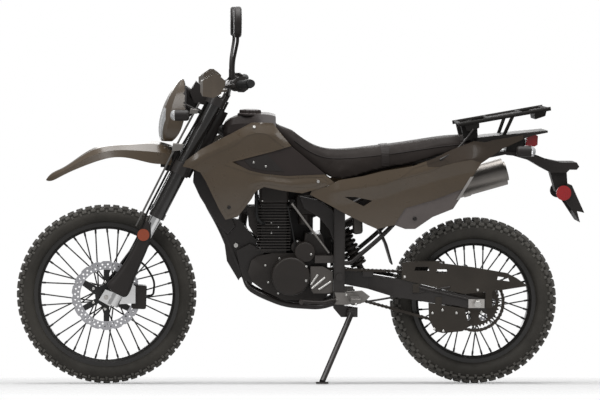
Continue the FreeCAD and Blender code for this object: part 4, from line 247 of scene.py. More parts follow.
@dataclass(frozen=True)
class Finish:
    """A procedural finish.

    Args:
        name: Name of the Blender material.
        colour: Linear base colour.
        roughness: Mean roughness.
        metallic: 1 for bare metal.
        grain: Kind of fine relief.
        grain_size: Noise scale of the relief, per metre.
        bump: Depth of the relief in millimetres.
        variation: How far colour and roughness wander over the surface.
        wear: How much paler the edges are, a painted highlight along them.
        coat: Clear coat weight.
        transmission: Share of light let through.
        ior: Index of refraction.
        specular: Strength of reflections.
        rings: Zones round an axle, rows of radius in millimetres, colour and metallic.
        axle: Middle of the zones on the upright bike.
    """

    name: str
    colour: tuple
    roughness: float
    metallic: float = 0.0
    grain: Grain = Grain.MOULDED
    grain_size: float = 900.0
    bump: float = 0.05
    variation: float = 0.15
    wear: float = 0.0
    coat: float = 0.0
    transmission: float = 0.0
    ior: float = 1.5
    specular: float = 0.3
    rings: tuple = ()
    axle: tuple = ()

    def build(self, stance: "Stance") -> Material:
        """Makes the material's node tree.

        Args:
            stance: Stance of the bike, for zones round an axle.
        Returns:
            The new material.
        """
        made = bpy.data.materials.new(self.name)
        made.use_nodes = True
        tree = made.node_tree
        shader = tree.nodes["Principled BSDF"]
        feed(tree, shader, Metallic=self.metallic, Coat_Weight=self.coat, Coat_Roughness=COAT_ROUGHNESS,
             Transmission_Weight=self.transmission, IOR=self.ior, Specular_IOR_Level=self.specular)
        place = grown(tree, "ShaderNodeTexCoord").outputs["Object"]
        self._colour(tree, shader, place)
        self._relief(tree, shader, place)
        if self.rings:
            self._zones(tree, shader, place, stance)
        return made

    def _zones(self, tree: NodeTree, shader: Node, place: NodeSocket, stance: "Stance") -> None:
        """Changes colour and metal from zone to zone round the axle."""
        # The great scale across makes the distance that from the axle, not from a point
        turned = grown(tree, "ShaderNodeMapping", place, vector_type="TEXTURE", Location=stance.point(*self.axle),
                       Rotation=(stance.lean, 0, 0), Scale=(1, 1e6, 1))
        far = grown(tree, "ShaderNodeVectorMath", turned.outputs["Vector"], operation="LENGTH")
        share = grown(tree, "ShaderNodeMapRange", far.outputs["Value"], From_Max=ZONE_SPAN * MM)
        tint = grown(tree, "ShaderNodeMix", data_type="RGBA", blend_type="MULTIPLY", Factor=1.0,
                     A=shader.inputs["Base Color"].links[0].from_socket)
        for key, socket in ((1, tint.inputs["B"]), (2, shader.inputs["Metallic"])):
            ramp = grown(tree, "ShaderNodeValToRGB", share.outputs["Result"])
            ramp.color_ramp.interpolation = "CONSTANT"
            marks = ramp.color_ramp.elements
            while len(marks) < len(self.rings):
                marks.new(0.5)
            for mark, ring in zip(marks, self.rings):
                mark.position = ring[0] / ZONE_SPAN
                mark.color = (*ring[key], 1) if key == 1 else (*[ring[key]] * 3, 1)
            tree.links.new(ramp.outputs["Color"], socket)
        feed(tree, shader, Base_Color=tint.outputs["Result"])

    def _noise(self, tree: NodeTree, place: NodeSocket, scale: float, detail: float = 3.0) -> NodeSocket:
        """Adds a noise texture and returns its value output."""
        return grown(tree, "ShaderNodeTexNoise", place, Scale=scale, Detail=detail).outputs["Fac"]

    def _colour(self, tree: NodeTree, shader: Node, place: NodeSocket) -> None:
        """Lets base colour and roughness wander, with edges painted paler as a highlight."""
        low, high = 1.0 - self.variation, 1.0 + self.variation
        ramp = grown(tree, "ShaderNodeValToRGB", self._noise(tree, place, COLOUR_SCALE, 5.0))
        for mark, position, gain in zip(ramp.color_ramp.elements, COLOUR_ENDS, (low, high)):
            mark.position = position
            mark.color = (*[min(1.0, c * gain) for c in self.colour], 1)
        colour = ramp.outputs["Color"]
        # Painted highlight: edges that the mesh's curvature picks out get a paler colour
        if self.wear:
            edge = grown(tree, "ShaderNodeNewGeometry").outputs["Pointiness"]
            spread = grown(tree, "ShaderNodeMapRange", edge, *EDGE_SPAN, To_Max=self.wear)
            colour = grown(tree, "ShaderNodeMix", data_type="RGBA", Factor=spread.outputs["Result"], A=colour,
                           B=(*[min(1.0, c * EDGE_GAIN + EDGE_LIFT) for c in self.colour], 1)).outputs["Result"]
        rough = grown(tree, "ShaderNodeMapRange", self._noise(tree, place, ROUGHNESS_SCALE),
                      To_Min=max(0.02, self.roughness * low), To_Max=min(1.0, self.roughness * high))
        feed(tree, shader, Base_Color=colour, Roughness=rough.outputs["Result"])

    def _relief(self, tree: NodeTree, shader: Node, place: NodeSocket) -> None:
        """Adds the fine relief."""
        if self.grain is Grain.SMOOTH or self.bump <= 0:
            return
        if self.grain is Grain.LEATHER:
            cells = grown(tree, "ShaderNodeTexVoronoi", place, feature="SMOOTH_F1", Scale=self.grain_size)
            height = cells.outputs["Distance"]
        elif self.grain in STRETCH:
            drawn = grown(tree, "ShaderNodeMapping", place, Scale=STRETCH[self.grain]).outputs["Vector"]
            height = self._noise(tree, drawn, self.grain_size, 2.0)
        else:
            height = self._noise(tree, place, self.grain_size, 4.0)
        relief = grown(tree, "ShaderNodeBump", Height=height, Strength=RELIEF_STRENGTH, Distance=self.bump * MM)
        feed(tree, shader, Normal=relief.outputs["Normal"])


FINISHES = {finish.name: finish for finish in (
    Finish("frame_black", (0.015, 0.0125, 0.0115), 0.30, coat=0.1, bump=0.03, wear=0.12, specular=0.28),
    Finish("fork_black", (0.014, 0.0125, 0.0115), 0.20, coat=0.35, bump=0.01, specular=0.4),
    Finish("engine_black", (0.020, 0.0165, 0.0145), 0.40, grain=Grain.CAST, grain_size=500, bump=0.12, wear=0.3,
           specular=0.25),
    Finish("cast_alloy", (0.17, 0.16, 0.15), 0.42, 0.7, Grain.CAST, 600, 0.12, 0.25, 0.3),
    Finish("steel", (0.46, 0.44, 0.42), 0.30, 1.0, Grain.BRUSHED, 700, 0.006),
    Finish("muffler_steel", (0.22, 0.205, 0.19), 0.40, 1.0, Grain.BRUSHED, 700, 0.006),
    Finish("guard_dark", (0.031, 0.026, 0.021), 0.5, grain_size=1500, bump=0.06, specular=0.2),
    Finish("chrome", (0.62, 0.62, 0.62), 0.09, 1.0, Grain.SMOOTH, variation=0.05),
    Finish("disc_steel", (1.0, 1.0, 1.0), 0.34, grain=Grain.BRUSHED, grain_size=500, bump=0.03, variation=0.1,
           axle=FRONT_AXLE, rings=((0, (BLACK, BLACK, BLACK), 0.0), (100, (0.42, 0.42, 0.44), 0.95))),
    Finish("rear_disc_steel", (0.42, 0.42, 0.44), 0.34, 0.95, Grain.BRUSHED, 500, 0.03),
    Finish("wheel_black", (0.012, 0.011, 0.010), 0.30, coat=0.15, bump=0.02, wear=0.1, specular=0.35),
    Finish("tyre", (0.030, 0.0275, 0.0235), 0.66, grain=Grain.RUBBER, grain_size=260, bump=0.3, variation=0.35,
           wear=0.5, specular=0.16),
    Finish("rubber", (0.010, 0.010, 0.010), 0.55, grain=Grain.RIBBED, grain_size=420, bump=0.9),
    Finish("hose", (0.12, 0.115, 0.11), 0.34, 0.5, Grain.SMOOTH),
    Finish("olive", (0.058, 0.041, 0.025), 0.28, coat=0.35, grain_size=1400, bump=0.012, variation=0.06,
           specular=0.4),
    Finish("warm_grey", (0.104, 0.089, 0.084), 0.40, grain_size=1200, bump=0.03),
    Finish("guard_brown", (0.075, 0.060, 0.046), 0.34, coat=0.15, grain_size=1200, bump=0.02),
    Finish("charcoal", (0.026, 0.0205, 0.019), 0.40, coat=0.04, grain_size=1300, bump=0.015, variation=0.08,
           specular=0.14),
    Finish("black_plastic", (0.016, 0.0135, 0.0125), 0.46, grain_size=1500, bump=0.06, specular=0.25),
    Finish("seat_vinyl", (0.017, 0.0135, 0.012), 0.60, grain=Grain.LEATHER, grain_size=420, bump=0.16, specular=0.08),
    Finish("seam", (0.016, 0.013, 0.012), 0.55, grain=Grain.LEATHER, grain_size=900, bump=0.1, specular=0.12),
    Finish("lamp_red", (0.25, 0.010, 0.012), 0.18, coat=0.6, grain=Grain.LEATHER, grain_size=160, bump=0.5),
    Finish("amber", (0.20, 0.038, 0.014), 0.2, coat=0.6, grain=Grain.LEATHER, grain_size=200, bump=0.5),
    Finish("clear_lens", (0.70, 0.71, 0.72), 0.08, grain=Grain.LEATHER, grain_size=120, bump=0.25, variation=0.02,
           coat=0.5, transmission=0.6, ior=1.25, specular=0.5),
    Finish("mirror", (0.85, 0.86, 0.88), 0.03, 1.0, Grain.SMOOTH, variation=0.02),
    Finish("rack_black", (0.013, 0.012, 0.011), 0.65, grain=Grain.CAST, grain_size=900, bump=0.06, specular=0.08),
    # Darker copy of olive for the tail cover: painted shade where the panel turns under
    Finish("olive_tail_shade", (0.030, 0.021, 0.014), 0.30, coat=0.2, grain_size=1400, bump=0.015),
    Finish("dark_alloy", (0.045, 0.040, 0.036), 0.40, 0.5, Grain.CAST, 600, 0.12, 0.25, 0.3),
    Finish("brown_steel", (0.040, 0.034, 0.029), 0.42, 0.6, Grain.BRUSHED, 500, 0.05, 0.3),
    Finish("bolt", (0.55, 0.54, 0.52), 0.28, 1.0, Grain.BRUSHED, 900, 0.02),
)}

# Rows of finish and the CAD nodes that wear it
NODE_FINISH = {node: finish for finish, nodes in (
    ("frame_black", "main_frame subframe swingarm fork_clamps handlebar side_stand"),
    ("steel", "rear_axle foot_controls front_axle"),
    ("engine_black", "rear_shock crankcase cylinder carburettor exhaust_pipe rear_caliper front_caliper"),
    ("dark_alloy", "sprocket_cover"),
    ("rubber", "engine_hose grips"),
    ("rack_black", "front_brake_hose cargo_rack"),
    ("muffler_steel", "muffler"),
    ("charcoal", "fuel_tank fuel_cap tank_side_panels"),
    ("olive", "tank_shrouds side_panels headlight_cowl front_fender"),
    ("seat_vinyl", "seat"),
    ("warm_grey", "lower_side_cover handguards"),
    ("black_plastic", "rear_fender rear_signals airbox fork_guards bar_controls mirrors instrument front_signals"),
    ("lamp_red", "rear_lamps"),
    ("brown_steel", "chain rear_sprocket"),
    ("guard_dark", "chain_guards"),
    ("fork_black", "fork_outer_tubes"),
    ("chrome", "fork_lowers"),
    ("amber", "fork_reflectors"),
    ("clear_lens", "headlight_lens"),
    ("tyre", "front_tyre rear_tyre"),
    ("wheel_black", "front_rim front_hub rear_rim rear_hub"),
    ("disc_steel", "front_disc"),
    ("rear_disc_steel", "rear_disc"),
) for node in nodes.split()}


class Stance:
    """Turns points of the upright bike, in millimetres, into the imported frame, in metres."""

    def __init__(self, frame: dict) -> None:
        """Reads the lean and the place from the front wheel's joint.
        """
        joint = next(j for j in frame["joints"] if j["name"] == "front_wheel_spin")
        axis = Vector(joint["axis"])
        self.lean = math.atan2(axis.z, axis.y)
        turn = Matrix.Rotation(self.lean, 4, "X")
        home = turn @ (Vector(FRONT_AXLE) * MM)
        self.matrix = Matrix.Translation(Vector(joint["pos_m"]) - home) @ turn
        self.inverse = self.matrix.inverted()
        self.turn = self.matrix.to_3x3()

    def point(self, x: float, y: float, z: float) -> Vector:
        """Place of an upright point."""
        return self.matrix @ (Vector((x, y, z)) * MM)

    def pixel(self, px: float, py: float, y: float) -> Vector:
        """Place seen at a pixel of the photo, at a distance y across the bike."""
        return self.point(column(px), y, level(py))

    def upright(self, place: Vector) -> Vector:
        """Upright point of a place."""
        return self.inverse @ place / MM


class Workshop:
    """Holds the frame, the stance and the materials, and turns geometry into finished pieces."""

    def __init__(self, frame: dict) -> None:
        """Prepares the materials.
        """
        self.nodes = frame["nodes"]
        self.stance = Stance(frame)
        self.materials = {name: finish.build(self.stance) for name, finish in FINISHES.items()}
        self._trees: dict = {}

    def paint_nodes(self) -> None:
        """Gives every CAD node its finish."""
        for name, obj in self.nodes.items():
            obj.data.materials.clear()
            obj.data.materials.append(self.materials[NODE_FINISH[name]])

    def piece(self, name: str, mesh: Mesh, finish: str, body: str, node: str = "") -> Object:
        """Links a mesh in row frame metres as a piece on a body.

        Args:
            name: Piece name.
            mesh: Its mesh.
            finish: Key of FINISHES, or an empty string to keep the mesh's materials.
            body: CAD body that it rides on.
            node: CAD node that it replaces, or an empty string for none.
        Returns:
            The new object.
        """
        obj = linked(name, mesh)
        if finish:
            mesh.materials.clear()
            mesh.materials.append(self.materials[finish])
        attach(obj, body)
        LOG.info("piece %s on %s, %d faces", name, body, len(mesh.polygons))
        if node:
            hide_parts(node)
        return obj

    def shaped(self, name: str, data: ID, *steps: tuple) -> Mesh:
        """Plain mesh of a mesh or curve after modifiers.

        Args:
            name: Name of the new mesh.
            data: Mesh or curve.
            steps: Rows of a modifier's kind and settings.
        Returns:
            The evaluated mesh.
        """
        obj = linked(name + "_holder", data)
        for kind, settings in steps:
            modifier = obj.modifiers.new(kind, kind)
            for key, value in settings.items():
                if key in modifier.bl_rna.properties:
                    setattr(modifier, key, value)
                else:
                    modifier[key] = value
        return self.baked(name, obj)

    def baked(self, name: str, obj: Object) -> Mesh:
        """Plain mesh of an object as its modifiers leave it; the object is removed."""
        graph = bpy.context.evaluated_depsgraph_get()
        mesh = bpy.data.meshes.new_from_object(obj.evaluated_get(graph))
        mesh.name = name
        bpy.data.objects.remove(obj)
        return mesh

    def loft(self, name: str, rows: list, closed: bool, smooth: bool = True, caps: tuple = (),
             looped: bool = False) -> Mesh:
        """Mesh with faces between rows of upright points.

        Args:
            name: Name of the mesh.
            rows: Rows of points as skin() takes them.
            closed: Whether a row's last point meets its first.
            smooth: Whether the faces are shaded smooth.
            caps: Numbers of the rows that get a face of their own.
            looped: Whether the last row meets the first one; the normals then stay as the rows give them.
        Returns:
            The mesh.
        """
        work = bmesh.new()
        rings = [[work.verts.new(self.stance.point(*p)) for p in row] for row in rows]
        skin(work, rings + rings[:1] if looped else rings, closed, smooth)
        for cap in caps:
            work.faces.new(rings[cap])
        work.normal_update()
        return mesh_of(work, name, outward=not looped)

    def spots(self, node: str, side: int = 0) -> list:
        """Upright points of a CAD node, of one side of the bike or of both."""
        found = [self.stance.upright(v.co) for v in self.nodes[node].data.vertices]
        return [p for p in found if p.y * side > 0] if side else found

    def cover(self, node: str, mesh: Mesh) -> None:
        """Lets what is seated on a node later find the mesh that replaces it."""
        self._trees[node] = tree_over(mesh)

    def hit(self, node: str, x: float, z: float) -> tuple | None:
        """Outermost surface point on a node's left side at an upright place.

        Args:
            node: CAD node.
            x: Upright X in millimetres.
            z: Upright Z in millimetres.
        Returns:
            Point and normal in the row frame, or None.
        """
        if node not in self._trees:
            self.cover(node, self.nodes[node].data)
        start = self.stance.point(x, -OUTSIDE, z)
        toward = (self.stance.point(x, 0, z) - start).normalized()
        place, normal, _, _ = self._trees[node].ray_cast(start, toward)
        return (place, normal) if place else None


@dataclass
class Station:
    """One repeat of a scattered form: place and axes in the row frame, size in metres."""

    place: Vector
    axis: Vector
    ahead: Vector
    size: Vector


class Scatter:
    """Geometry Nodes tree that puts a basic form on points."""

    def __init__(self, shop: Workshop) -> None:
        """Keeps the workshop."""
        self.shop = shop

    def tree(self, form: Form, finish: str) -> tuple:
        """Builds the node tree for a form and a finish.

        Args:
            form: Which basic shape.
            finish: Key of FINISHES.
        Returns:
            Node group and the identifier of its size socket.
        """
        group = bpy.data.node_groups.new("repeat_" + form.value, "GeometryNodeTree")
        group.interface.new_socket("Geometry", in_out="INPUT", socket_type="NodeSocketGeometry")
        size = group.interface.new_socket("Size", in_out="INPUT", socket_type="NodeSocketFloat")
        size.default_value = 1.0
        group.interface.new_socket("Geometry", in_out="OUTPUT", socket_type="NodeSocketGeometry")
        start = grown(group, "NodeGroupInput")
        turn, wide = (grown(group, "GeometryNodeInputNamedAttribute", data_type="FLOAT_VECTOR", Name=name)
                      for name in ("turn", "size"))
        scale = grown(group, "ShaderNodeVectorMath", wide.outputs["Attribute"], operation="SCALE",
                      Scale=start.outputs["Size"])
        spread = grown(group, "GeometryNodeInstanceOnPoints", Points=start.outputs["Geometry"],
                       Instance=self._shape(group, form), Rotation=turn.outputs["Attribute"],
                       Scale=scale.outputs["Vector"])
        real = grown(group, "GeometryNodeRealizeInstances", spread.outputs["Instances"])
        paint = grown(group, "GeometryNodeSetMaterial", real.outputs["Geometry"],
                      Material=self.shop.materials[finish])
        grown(group, "NodeGroupOutput", paint.outputs["Geometry"])
        return group, size.identifier

    def _shape(self, group: NodeTree, form: Form) -> NodeSocket:
        """Adds the primitive of unit size and returns its mesh output."""
        if form is Form.BLOCK:
            return grown(group, "GeometryNodeMeshCube", Size=(1, 1, 1)).outputs["Mesh"]
        return grown(group, "GeometryNodeMeshCylinder", Vertices=6 if form is Form.HEX else 20, Radius=0.5,
                     Depth=1.0).outputs["Mesh"]

    def spread(self, name: str, stations: list, form: Form, finish: str, bevel: float = 0.0) -> Mesh:
        """Mesh of all the repeats.

        Args:
            name: Mesh name.
            stations: Where each repeat goes.
            form: Which basic shape.
            finish: Key of FINISHES.
            bevel: Edge rounding in millimetres.
        Returns:
            The realised mesh, in row frame metres.
        """
        seeds = bpy.data.meshes.new(name + "_points")
        seeds.from_pydata([s.place for s in stations], [], [])
        turns = seeds.attributes.new("turn", "FLOAT_VECTOR", "POINT")
        sizes = seeds.attributes.new("size", "FLOAT_VECTOR", "POINT")
        for i, s in enumerate(stations):
            third = s.axis.normalized()
            first = (s.ahead - third * s.ahead.dot(third)).normalized()
            basis = Matrix((first, third.cross(first), third)).transposed()
            turns.data[i].vector = basis.to_euler()
            sizes.data[i].vector = s.size
        group, size = self.tree(form, finish)
        steps = [("NODES", {"node_group": group, size: 1.0})]
        if bevel:
            steps.append(("BEVEL", {"width": bevel * MM, "segments": 1}))
        return self.shop.shaped(name, seeds, *steps)


def joined(name: str, meshes: list) -> Mesh:
    """One mesh of several, keeping their materials.

    Args:
        name: Name of the new mesh.
        meshes: Meshes in row frame metres.
    Returns:
        The joined mesh.
    """
    work = bmesh.new()
    slots: list = []
    for mesh in meshes:
        first = len(work.faces)
        work.from_mesh(mesh)
        work.faces.ensure_lookup_table()
        places = []
        for material in mesh.materials:
            if material not in slots:
                slots.append(material)
            places.append(slots.index(material))
        for face in work.faces[first:]:
            face.material_index = places[min(face.material_index, len(places) - 1)] if places else 0
    whole = mesh_of(work, name, outward=False)
    for material in slots:
        whole.materials.append(material)
    return whole


@dataclass
class KnobRow:
    """One ring of tread knobs.

    Args:
        across: Distance from the tyre's middle plane.
        tip_radius: Distance of the tips from the axle.
        length: Length round the tyre.
        width: Width across.
        depth: Height of a knob.
        phase: Turn of the ring, as a share of a knob's pitch.
        tilt: Lean to the side, in degrees.
    """

    across: float
    tip_radius: float
    length: float
    width: float
    depth: float
    phase: float
    tilt: float


@dataclass
class Tyre:
    """A knobbly tyre.

    Args:
        name: CAD node that it stands for.
        body: Body it rides on.
        centre: Axle point of the upright bike.
        profile: Half section of the carcass, rows of distance across and radius.
        rows: Rings of knobs of the right half; they are mirrored.
        count: Knobs in a ring.
        steps: Facets of the carcass round the axle.
    """

    name: str
    body: str
    centre: Vector
    profile: tuple
    rows: tuple
    count: int
    steps: int = 144

    def build(self, shop: Workshop, scatter: Scatter) -> Object:
        """Makes the tyre and hides the CAD one.

        Args:
            shop: Workshop.
            scatter: Repeater for the knobs.
        Returns:
            The tyre piece.
        """
        carcass = self._carcass(shop)
        knobs = scatter.spread(self.name + "_knobs", self._stations(shop), Form.BLOCK, "tyre", 1.4)
        mesh = joined("tread_" + self.name, [carcass, knobs])
        return shop.piece("tread_" + self.name, mesh, "", self.body, self.name)

    def _carcass(self, shop: Workshop) -> Mesh:
        """Revolved carcass."""
        section = [(-y, r) for y, r in reversed(self.profile)] + [p for p in self.profile if p[0] > 0]
        rows = []
        for i in range(self.steps):
            turn = 2 * math.pi * i / self.steps
            rows.append([self.centre + Vector((math.cos(turn) * r, y, math.sin(turn) * r)) for y, r in section])
        mesh = shop.loft(self.name + "_carcass", rows, False, looped=True)
        mesh.materials.append(shop.materials["tyre"])
        return mesh

    def _stations(self, shop: Workshop) -> list:
        """Where the knobs go."""
        stations = []
        for knobs, side, i in ((k, s, i) for k in self.rows for s in (-1, 1) for i in range(self.count)):
            turn = 2 * math.pi * (i + knobs.phase) / self.count
            out = Vector((math.cos(turn), 0, math.sin(turn)))
            tilt = math.radians(knobs.tilt) * side
            normal = out * math.cos(tilt) + Vector((0, math.sin(tilt), 0))
            middle = self.centre + out * knobs.tip_radius + Vector((0, side * knobs.across, 0))
            middle -= normal * (knobs.depth / 2)
            stations.append(Station(shop.stance.point(*middle), shop.stance.turn @ normal,
                                    shop.stance.turn @ Vector((-out.z, 0, out.x)),
                                    Vector((knobs.length, knobs.width, knobs.depth)) * MM))
        return stations


@dataclass
class Seat:
    """The padded seat, swollen from its CAD form by a short cloth simulation.

    Args:
        voxel: Size of the even mesh cells.
        pressure: Pressure under the cover.
        frames: Length of the simulation.
        limit: Furthest that a point may travel.
        shrink: How far the cover is drawn in before it swells.
    """

    voxel: float = 6.0
    pressure: float = 4.0
    frames: int = 20
    limit: float = 7.0
    shrink: float = 3.0

    def build(self, shop: Workshop) -> Object:
        """Makes the seat cover.

        Args:
            shop: Workshop.
        Returns:
            The seat piece.
        """
        mesh = shop.shaped("seat_cover", shop.nodes["seat"].data.copy(),
                           ("REMESH", {"mode": "VOXEL", "voxel_size": self.voxel * MM}))
        mesh = self._swell(shop, mesh)
        for face in mesh.polygons:
            face.use_smooth = True
        seat = shop.piece("seat_cover", mesh, "seat_vinyl", "frame", "seat")
        return seat

    def _swell(self, shop: Workshop, mesh: Mesh) -> Mesh:
        """Swells the shape with Cloth under pressure, with the points' travel capped."""
        rest = [v.co.copy() for v in mesh.vertices]
        normals = [v.normal.copy() for v in mesh.vertices]
        for v, n in zip(mesh.vertices, normals):
            v.co -= n * (self.shrink * MM)
        obj = linked("seat_cloth", mesh)
        cloth = obj.modifiers.new("cloth", "CLOTH")
        cloth.settings.use_pressure = True
        cloth.settings.uniform_pressure_force = self.pressure
        cloth.settings.effector_weights.gravity = 0.0
        cloth.settings.quality = 4
        scene = bpy.context.scene
        for frame in range(1, self.frames + 1):
            scene.frame_set(frame)
        swollen = shop.baked("seat_cover", obj)
        for v, home in zip(swollen.vertices, rest):
            step = v.co - home
            if step.length > self.limit * MM:
                v.co = home + step.normalized() * (self.limit * MM)
        scene.frame_set(1)
        return shop.shaped("seat_cover", swollen, ("SMOOTH", {"iterations": 3}), ("SUBSURF", {"levels": 1}))


@dataclass
class Screws:
    """A set of screw heads on a CAD node, placed by pixels of the photo.

    Args:
        name: Piece name.
        node: CAD node that carries them.
        body: Body they ride on.
        pixels: Where they are seen.
        radius: Radius of a head.
        height: Height of a head.
        finish: Key of FINISHES.
        form: Round or six-sided.
        seat: Share of the height at which a head's middle lies over the surface.
    """

    name: str
    node: str
    body: str
    pixels: tuple
    radius: float
    height: float
    finish: str = "bolt"
    form: Form = Form.ROUND
    seat: float = 0.4

    def build(self, shop: Workshop, scatter: Scatter) -> Object | None:
        """Makes the screw heads where the node's surface is met.

        Args:
            shop: Workshop.
            scatter: Repeater.
        Returns:
            The piece, or None if no place met the node.
        """
        stations = []
        for px, py in self.pixels:
            found = shop.hit(self.node, column(px), level(py))
            if not found:
                LOG.info("%s: nothing at %s,%s", self.name, px, py)
                continue
            place, normal = found
            if normal.dot(shop.stance.turn @ Vector((0, -1, 0))) < 0:
                normal = -normal
            stations.append(Station(place + normal * (self.height * self.seat * MM), normal, Vector((1, 0.1, 0)),
                                    Vector((self.radius * 2, self.radius * 2, self.height)) * MM))
        if not stations:
            return None
        mesh = scatter.spread(self.name, stations, self.form, self.finish, min(1.0, self.height * 0.25))
        return shop.piece(self.name, mesh, "", self.body)


def tube_along(shop: Workshop, name: str, points: list, radius: float) -> Mesh:
    """Smooth tube along points of the row frame.

    Args:
        shop: Workshop.
        name: Mesh name.
        points: Places in metres.
        radius: Tube radius in millimetres.
    Returns:
        The mesh.
    """
    curve = bpy.data.curves.new(name, "CURVE")
    curve.dimensions = "3D"
    curve.bevel_depth = radius * MM
    curve.bevel_resolution = 3
    curve.use_fill_caps = True
    spline = curve.splines.new("NURBS")
    spline.points.add(len(points) - 1)
    for spot, place in zip(spline.points, points):
        spot.co = (*place, 1)
    spline.order_u = 3
    spline.use_endpoint_u = True
    mesh = shop.shaped(name, curve)
    for face in mesh.polygons:
        face.use_smooth = True
    return mesh


@dataclass
class Lens:
    """Domed covers on the flat round ends of a node's solids, one on each side of the bike.

    Args:
        name: Piece name.
        node: CAD node that carries them.
        body: Body they ride on.
        finish: Key of FINISHES.
        toward: 1 for ends that face the rear, -1 for the front.
        height: Height of the dome in millimetres.
        share: Radius as a share of the end's radius.
        slot: Material slot of the record; not used.
        steps: Facets round the dome.
        rows: Facets from its rim to its top.
        gap: Distance of the rim from the end.
        band: Points this near to the end belong to it.
    """

    name: str
    node: str
    body: str
    finish: str
    toward: int
    height: float
    share: float
    slot: str
    steps: int = 40
    rows: int = 8
    gap: float = 0.3
    band: float = 0.5

    def build(self, shop: Workshop) -> Object:
        """Makes both covers.

        Args:
            shop: Workshop.
        Returns:
            The piece.
        """
        domes = [self._dome(shop, shop.spots(self.node, side)) for side in (-1, 1)]
        return shop.piece(self.name, joined(self.name, domes), self.finish, self.body)

    def _dome(self, shop: Workshop, spots: list) -> Mesh:
        """One dome on the end of some points of the upright bike."""
        edge = max(p.x * self.toward for p in spots)
        end = [p for p in spots if p.x * self.toward > edge - self.band]
        mid_y = (max(p.y for p in end) + min(p.y for p in end)) / 2
        mid_z = (max(p.z for p in end) + min(p.z for p in end)) / 2
        half_y = (max(p.y for p in end) - mid_y) * self.share
        half_z = (max(p.z for p in end) - mid_z) * self.share
        base = (edge + self.gap) * self.toward
        turns = [2 * math.pi * k / self.steps for k in range(self.steps)]
        rows = []
        for rise in (math.pi / 2 * n / self.rows for n in range(self.rows)):
            wide, x = math.cos(rise), base + self.toward * math.sin(rise) * self.height
            rows.append([(x, mid_y + half_y * wide * math.cos(t), mid_z + half_z * wide * math.sin(t))
                         for t in turns])
        rows.append([(base + self.toward * self.height, mid_y, mid_z)])
        return shop.loft(self.name, rows, True, caps=(0,))


@dataclass
class ForkGuards:
    """Moulded guards round the outer side of the inner tubes.

    Args:
        rows: Rows of distance up the leg, reach ahead of its axis and reach behind it.
        depth: Reach outward from the leg's axis.
        wall: Wall of the guard.
        square: How boxy the section is; 1 is an ellipse, less is boxier.
        steps: Facets of the section.
        sweep: First turn and length of the section's arc, in degrees.
    """

    rows: tuple = ((31, 24, -30), (36, 46, -37), (50, 54, -42), (76, 42, -39), (107, 36, -34), (129, 32, -32),
                   (160, 28, -30), (209, 26, -27), (255, 27, -24), (290, 29, -15), (318, 30, 2), (334, 30, 16))
    depth: float = 37.0
    wall: float = 2.4
    square: float = 0.55
    steps: int = 20
    sweep: tuple = (10, 160)

    def build(self, shop: Workshop) -> Object:
        """Makes both guards.

        Args:
            shop: Workshop.
        Returns:
            The piece.
        """
        mesh = joined("fork_guard_shells", [self._shell(shop, side) for side in (-1, 1)])
        return shop.piece("fork_guard_shells", mesh, "black_plastic", "steering", "fork_guards")

    def _shell(self, shop: Workshop, side: int) -> Mesh:
        """One guard."""
        rows = []
        for up, ahead, behind in self.rows:
            middle, half = (ahead + behind) / 2, (ahead - behind) / 2
            arc = []
            for k in range(self.steps + 1):
                turn = math.radians(self.sweep[0] + self.sweep[1] * k / self.steps)
                c, q = math.cos(turn), math.sin(turn)
                reach = middle + half * math.copysign(abs(c) ** self.square, c)
                spot = FORK_FOOT + FORK_UP * up + FORK_AHEAD * reach
                arc.append((spot.x, side * (FORK_HALF + self.depth * abs(q) ** self.square), spot.z))
            rows.append(arc)
        return shop.shaped("fork_guard", shop.loft("fork_guard", rows, False),
                           ("SOLIDIFY", {"thickness": self.wall * MM, "offset": 0}), ("SUBSURF", {"levels": 1}))


